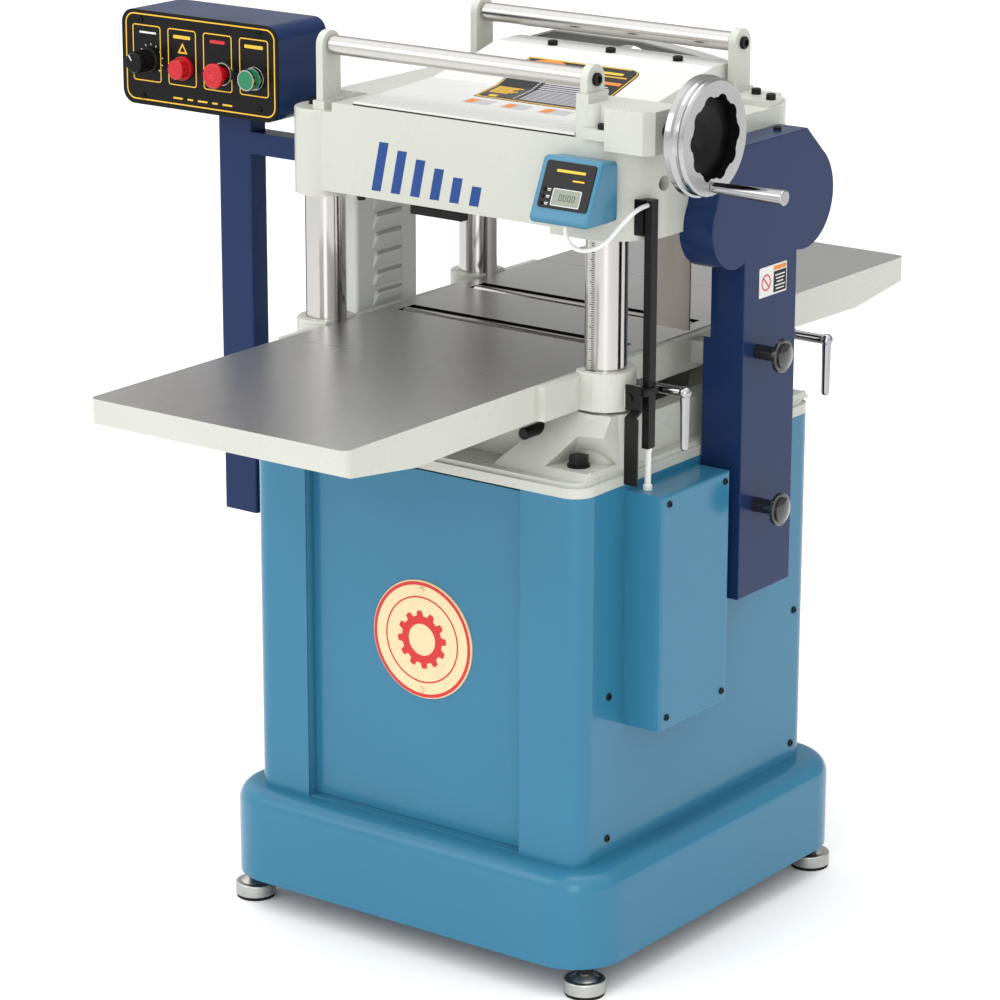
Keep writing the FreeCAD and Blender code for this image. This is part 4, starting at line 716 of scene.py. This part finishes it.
def on_cover(bm, y0, y1, limits, low, high, steps=24):
    """Thin sheet that follows the cover from y0 to y1; limits(y) gives its left and right x."""
    rows = []
    for k in range(steps + 1):
        y = y0 + (y1 - y0) * k / steps
        left, right = limits(y)
        z = cover_height(y)
        rows.append([bm.verts.new(at(x, y, z + h)) for x, h in
                     ((left, low), (right, low), (right, high), (left, high))])
    for a, b in zip(rows, rows[1:]):
        for k in range(4):
            j = (k + 1) % 4
            bm.faces.new((a[k], a[j], b[j], b[k]))
    bm.faces.new(rows[0][::-1])
    bm.faces.new(rows[-1])


PLATE_FRONT_Y = -97.0
PLATE_BACK_Y = 74.0
PLATE_FRONT_X = (-37.0, 142.0)
PLATE_BACK_X = (-70.0, 117.0)
PLATE_CORNER = 20.0


def plate_edges(y):
    """Left and right x of the slanted plate, with its back right corner rounded."""
    f = (y - PLATE_FRONT_Y) / (PLATE_BACK_Y - PLATE_FRONT_Y)
    left = PLATE_FRONT_X[0] + (PLATE_BACK_X[0] - PLATE_FRONT_X[0]) * f
    right = PLATE_FRONT_X[1] + (PLATE_BACK_X[1] - PLATE_FRONT_X[1]) * f
    into = max(0.0, y - (PLATE_BACK_Y - PLATE_CORNER))
    return left, right - (PLATE_CORNER - math.sqrt(max(0.0, PLATE_CORNER ** 2 - into ** 2)))


def strip(u0, u1):
    """Limits of a band between two fractions of the plate width."""
    def limits(y):
        left, right = plate_edges(y)
        return left + (right - left) * u0, left + (right - left) * u1
    return limits


def between(left, right):
    """Limits of a band with straight sides."""
    return lambda y: (left, right)


def oval(middle, half):
    """Limits of an ellipse; half is its half length along x and y."""
    def limits(y):
        reach = half[0] * math.sqrt(max(0.0001, 1 - ((y - middle[1]) / half[1]) ** 2))
        return middle[0] - reach, middle[0] + reach
    return limits


OVAL_MIDDLE = (-28.0, 58.0)
OVAL_HALF = (27.0, 12.5)
TEXT_ROWS = 15
DASHES = 16
STICKERS = ((-31.0, 10.0), (31.0, 69.0), (91.0, 134.0))


def plate_borders(bm):
    """Fine lines along the four edges of the slanted plate."""
    on_cover(bm, PLATE_FRONT_Y + 1.0, PLATE_FRONT_Y + 3.6, strip(0.01, 0.99), 0.4, 0.75, 2)
    on_cover(bm, PLATE_BACK_Y - 3.4, PLATE_BACK_Y - 1.2, strip(0.01, 0.955), 0.4, 0.75, 6)
    for u in (0.01, 0.981):
        on_cover(bm, PLATE_FRONT_Y + 1.0, PLATE_BACK_Y - 2.0, strip(u, u + 0.009), 0.4, 0.75, 60)


def cover_plates():
    """Slanted dark plate with line patterns and three small stickers, on the top cover."""
    bm = bmesh.new()
    on_cover(bm, PLATE_FRONT_Y, PLATE_BACK_Y, plate_edges, -0.2, 0.5, 60)
    add_piece("cover_plate", bm, "frame", "black_gloss")
    bm = bmesh.new()
    plate_borders(bm)
    for k in range(6):
        y = -38.0 - 6.0 * k
        on_cover(bm, y, y + 3.4, strip(0.05, 0.27 - 0.03 * (k % 3)), 0.4, 0.75, 2)
    on_cover(bm, -88.0, -79.0, strip(0.10, 0.17), 0.4, 0.75, 2)
    on_cover(bm, 50.0, 57.0, strip(0.52, 0.88), 0.4, 0.75, 4)
    on_cover(bm, 41.0, 44.0, strip(0.56, 0.94), 0.4, 0.75, 4)
    add_piece("cover_plate_lines", bm, "frame", "yellow")
    bm = bmesh.new()
    for k in range(TEXT_ROWS):
        y = -84.0 + 6.4 * k
        on_cover(bm, y, y + 3.3, strip(0.37, 0.93 - 0.025 * (k % 4)), 0.4, 0.7, 2)
    for k in range(DASHES):
        y = -86.0 + 6.0 * k
        on_cover(bm, y, y + 3.0, strip(0.318, 0.336), 0.4, 0.7, 2)
    add_piece("cover_plate_rows", bm, "frame", "grey_rows")
    bm = bmesh.new()
    on_cover(bm, 16.0, 25.0, strip(0.45, 0.955), 0.4, 0.8, 4)
    on_cover(bm, OVAL_MIDDLE[1] - OVAL_HALF[1], OVAL_MIDDLE[1] + OVAL_HALF[1],
             oval(OVAL_MIDDLE, OVAL_HALF), 0.4, 0.8, 24)
    add_piece("cover_plate_patches", bm, "frame", "orange")
    bm = bmesh.new()
    for x0, x1 in STICKERS:
        on_cover(bm, -133.0, -109.0, between(x0, x1), -0.2, 0.3, 2)
    add_piece("cover_stickers", bm, "frame", "grey_rows")
    bm = bmesh.new()
    for x0, x1 in STICKERS:
        on_cover(bm, -131.0, -111.0, between(x0 + 2.0, x0 + 16.0), 0.25, 0.5, 2)
    add_piece("cover_sticker_marks", bm, "frame", "orange")


COVER_FOOT_Z = 1122.2
GAP_HEIGHT = 1.6


def cover_gap():
    """Dark joint between the cover and the head."""
    bm = bmesh.new()
    m = placed(at(22.5, -203.0, COVER_FOOT_Z), X, Z)
    extrude_outline(bm, rounded_rect(355.6, GAP_HEIGHT, 0.3, 2), -0.2, 0.5, m)
    m = placed(at(-155.0, -100.0, COVER_FOOT_Z), -Y, Z)
    extrude_outline(bm, rounded_rect(205.0, GAP_HEIGHT, 0.3, 2), -0.2, 0.5, m)
    add_piece("cover_gap", bm, "frame", "slot")


HEAD_BARS = 6
BAR_PITCH = 32.0
BAR_WIDTH = 15.0
BAR_HEIGHT = 66.0
BAR_STEP = 8.0
BAR_FOOT = -33.0
BAR_LEAN = 14.0


def head_mark():
    """Row of plain leaning blue bars on the front of the head."""
    m = placed(at(0.0, -205.0, 1045.0), X, Z)
    bm = bmesh.new()
    for k in range(HEAD_BARS):
        height = BAR_HEIGHT - BAR_STEP * k
        lean = BAR_LEAN * height / BAR_HEIGHT
        u = -124.0 + BAR_PITCH * k
        top = BAR_FOOT + height
        bar = [(u, BAR_FOOT), (u + BAR_WIDTH, BAR_FOOT), (u + BAR_WIDTH + lean, top), (u + lean, top)]
        extrude_outline(bm, bar, -0.3, 0.4, m)
    add_piece("head_bars", bm, "frame", "mark_blue", bevel=0.15)


STICKER_Y = 54
STICKER_Z = 908
STICKER_FACE = 0.5
STICKER_PRINT = 0.9
STICKER_RING = (-17, -1)


def guard_sticker():
    """Pale plate on the belt guard with a band, a dark field of lines and a crossed ring."""
    lo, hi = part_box("belt_guard")
    m = placed(Vector((hi.x, at(0, STICKER_Y, 0).y, at(0, 0, STICKER_Z).z)), Y, Z)
    bm = bmesh.new()
    extrude_outline(bm, rounded_rect(66, 40, 2), -0.3, 0.6, m)
    add_piece("guard_plate", bm, "frame", "label", bevel=0.15)
    bm = bmesh.new()
    extrude_outline(bm, rounded_rect(30, 5.5, 0.6), STICKER_FACE, STICKER_PRINT, m, (16, 15))
    add_piece("guard_plate_band", bm, "frame", "orange")
    bm = bmesh.new()
    extrude_outline(bm, rounded_rect(30, 28, 0.8), STICKER_FACE, STICKER_PRINT, m, (16, -3.5))
    add_piece("guard_plate_field", bm, "frame", "black_satin")
    bm = bmesh.new()
    for k in range(5):
        row = rounded_rect(24.0 - 4.0 * (k % 3), 1.6, 0.4, 2)
        extrude_outline(bm, row, 0.8, 1.1, m, (16, 5.0 - 4.6 * k))
    add_piece("guard_plate_rows", bm, "frame", "label")
    bm = bmesh.new()
    extrude_band(bm, circle(11.0, 40), circle(9.0, 40), STICKER_FACE, STICKER_PRINT, m, STICKER_RING)
    slash = placed(m @ Vector((*STICKER_RING, 0.0)), Y + Z, Z - Y)
    extrude_outline(bm, rounded_rect(2.0, 19.0, 0.5, 2), STICKER_FACE, STICKER_PRINT, slash)
    add_piece("guard_plate_ring", bm, "frame", "red_print")


def labels():
    """Plain plates and bars with line patterns and no lettering."""
    cover_plates()
    cover_gap()
    head_mark()
    guard_sticker()


labels()


# ---------------------------------------------------------------- louvers of the left cover
LOUVER_WALL_X = -250.5
LOUVER_TOP = 962.0
LOUVER_PITCH = 27.0
LOUVERS = 7


def hood_outlines(z):
    """Foot on the wall and raised crown of one hood whose slot is at height z."""
    ring = [(-0.5, -47.0, z - 24.0), (-0.5, 25.0, z - 24.0), (-0.5, 17.0, z - 1.0), (-0.5, -39.0, z - 1.0)]
    crown = [(2.0, -42.0, z - 19.0), (2.0, 20.0, z - 19.0), (5.4, 13.0, z - 4.6), (5.4, -35.0, z - 4.6)]
    return ring, crown


def louver_hoods():
    """Pressed hoods below each slot of the left cover, flared towards the bottom."""
    bm = bmesh.new()
    for k in range(LOUVERS):
        ring, crown = hood_outlines(LOUVER_TOP - LOUVER_PITCH * k)
        low = [bm.verts.new(at(LOUVER_WALL_X + x, y, h)) for x, y, h in ring]
        top = [bm.verts.new(at(LOUVER_WALL_X + x, y, h)) for x, y, h in crown]
        bm.faces.new(low[::-1])
        bm.faces.new(top)
        for a in range(4):
            b = (a + 1) % 4
            bm.faces.new((low[a], low[b], top[b], top[a]))
    add_piece("louver_hoods", bm, "frame", "grey_sheet", bevel=1.6, segments=3)
    bm = bmesh.new()
    # Mid-grey strips along the top of each hood: painted shade standing in for the dark slot openings.
    for k in range(LOUVERS):
        m = placed(at(LOUVER_WALL_X + 4.0, -11.0, LOUVER_TOP - LOUVER_PITCH * k - 1.7), Y, Z)
        extrude_outline(bm, rounded_rect(54.0, 4.6, 2.0, 4), -0.4, 0.4, m)
    add_piece("louver_slot_shade", bm, "frame", "hood")


louver_hoods()


# ---------------------------------------------------------------- table seams
SEAM_Y = 288.0


def table_seams():
    """Fine bright chamfers where the wings meet the main table."""
    for name, y in (("infeed_seam", -SEAM_Y), ("outfeed_seam", SEAM_Y)):
        m = placed(at(0.0, y, TABLE_TOP), X, Y)
        bm = bmesh.new()
        extrude_outline(bm, rounded_rect(408.0, 1.2, 0.3, 2), -0.4, 0.06, m)
        add_piece(name, bm, "table", "chrome")


table_seams()


# ---------------------------------------------------------------- sleeve under the scale bar
SLEEVE_PROFILE = [(0, 0), (6.0, 0), (6.0, 6), (4.2, 8), (4.2, 50), (5.2, 52), (5.2, 56), (0, 56)]


def cable_sleeve():
    """White sleeve that leaves the lower end of the scale bar."""
    bm = bmesh.new()
    m = placed(at(293.5, -165.0, 666.0), X, Y)
    lathe(bm, SLEEVE_PROFILE, m, 32)
    add_piece("scale_sleeve", bm, "frame", "white")


cable_sleeve()


# ---------------------------------------------------------------- stage and light
FLOOR_HALF_SIZE = 30.0
SKY_HORIZON = (0.47, 1.02)
SKY_OVERHEAD = (0.9, 1.75)
# Direction, where the fade starts and ends along it, and the brightness left at its end.
SKY_FADES = (("X", 0.6, 0.98, 0.8), ("Y", 0.15, 0.75, 0.36))
LIGHT_TARGET = (0.0, 0.0, 0.7)
# Name, place, size and power of each area light.
AREA_LIGHTS = (("key", (-2.2, -3.8, 3.2), (2.4, 2.4), 26.0),
               ("front", (2.6, -4.0, 1.7), (1.4, 3.0), 40.0),
               ("top", (0.2, 0.0, 4.2), (3.0, 3.0), 42.0))


def stage():
    """Plain pale floor."""
    bm = bmesh.new()
    bmesh.ops.create_grid(bm, x_segments=1, y_segments=1, size=FLOOR_HALF_SIZE)
    mesh = bpy.data.meshes.new("floor")
    bm.to_mesh(mesh)
    bm.free()
    s = Shader("floor_pale")
    s.colour((0.95, 0.95, 0.95), 0.005, 0.5)
    s.roughness(0.6, 0.7, 3.0)
    mesh.materials.append(s.mat)
    floor = bpy.data.objects.new("floor", mesh)
    bpy.context.scene.collection.objects.link(floor)


def area_light(name, place, size, power):
    data = bpy.data.lights.new(name, "AREA")
    data.shape = "RECTANGLE"
    data.size, data.size_y = size
    data.energy = power
    obj = bpy.data.objects.new(name, data)
    bpy.context.scene.collection.objects.link(obj)
    obj.location = place
    obj.rotation_mode = "QUATERNION"
    obj.rotation_quaternion = (Vector(LIGHT_TARGET) - Vector(place)).to_track_quat("-Z", "Y")


def map_range(tree, source, start, end, low=0.0, high=1.0, smooth=False):
    node = tree.nodes.new("ShaderNodeMapRange")
    if smooth:
        node.interpolation_type = "SMOOTHSTEP"
    node.inputs["From Min"].default_value = start
    node.inputs["From Max"].default_value = end
    node.inputs["To Min"].default_value = low
    node.inputs["To Max"].default_value = high
    tree.links.new(source, node.inputs["Value"])
    return node.outputs["Result"]


def studio_world():
    """Soft room: brightest overhead, darker behind the machine and a little darker on the right."""
    world = bpy.data.worlds.new("studio")
    bpy.context.scene.world = world
    world.use_nodes = True
    tree = world.node_tree
    background = tree.nodes["Background"]
    background.inputs["Strength"].default_value = 1.0
    coord = tree.nodes.new("ShaderNodeTexCoord")
    split = tree.nodes.new("ShaderNodeSeparateXYZ")
    tree.links.new(coord.outputs["Generated"], split.inputs["Vector"])
    rise = tree.nodes.new("ShaderNodeValToRGB")
    for element, (position, level) in zip(rise.color_ramp.elements, (SKY_HORIZON, SKY_OVERHEAD)):
        element.position = position
        element.color = (level, level, level, 1.0)
    tree.links.new(map_range(tree, split.outputs["Z"], -1.0, 1.0), rise.inputs["Fac"])
    colour = rise.outputs["Color"]
    for axis, start, end, low in SKY_FADES:
        dim = tree.nodes.new("ShaderNodeVectorMath")
        dim.operation = "SCALE"
        tree.links.new(colour, dim.inputs[0])
        fade = map_range(tree, split.outputs[axis], start, end, 1.0, low, smooth=True)
        tree.links.new(fade, dim.inputs["Scale"])
        colour = dim.outputs["Vector"]
    tree.links.new(colour, background.inputs["Color"])


def lights():
    studio_world()
    for name, place, size, power in AREA_LIGHTS:
        area_light(name, place, size, power)
    bpy.context.scene.view_settings.view_transform = "Standard"


stage()
lights()
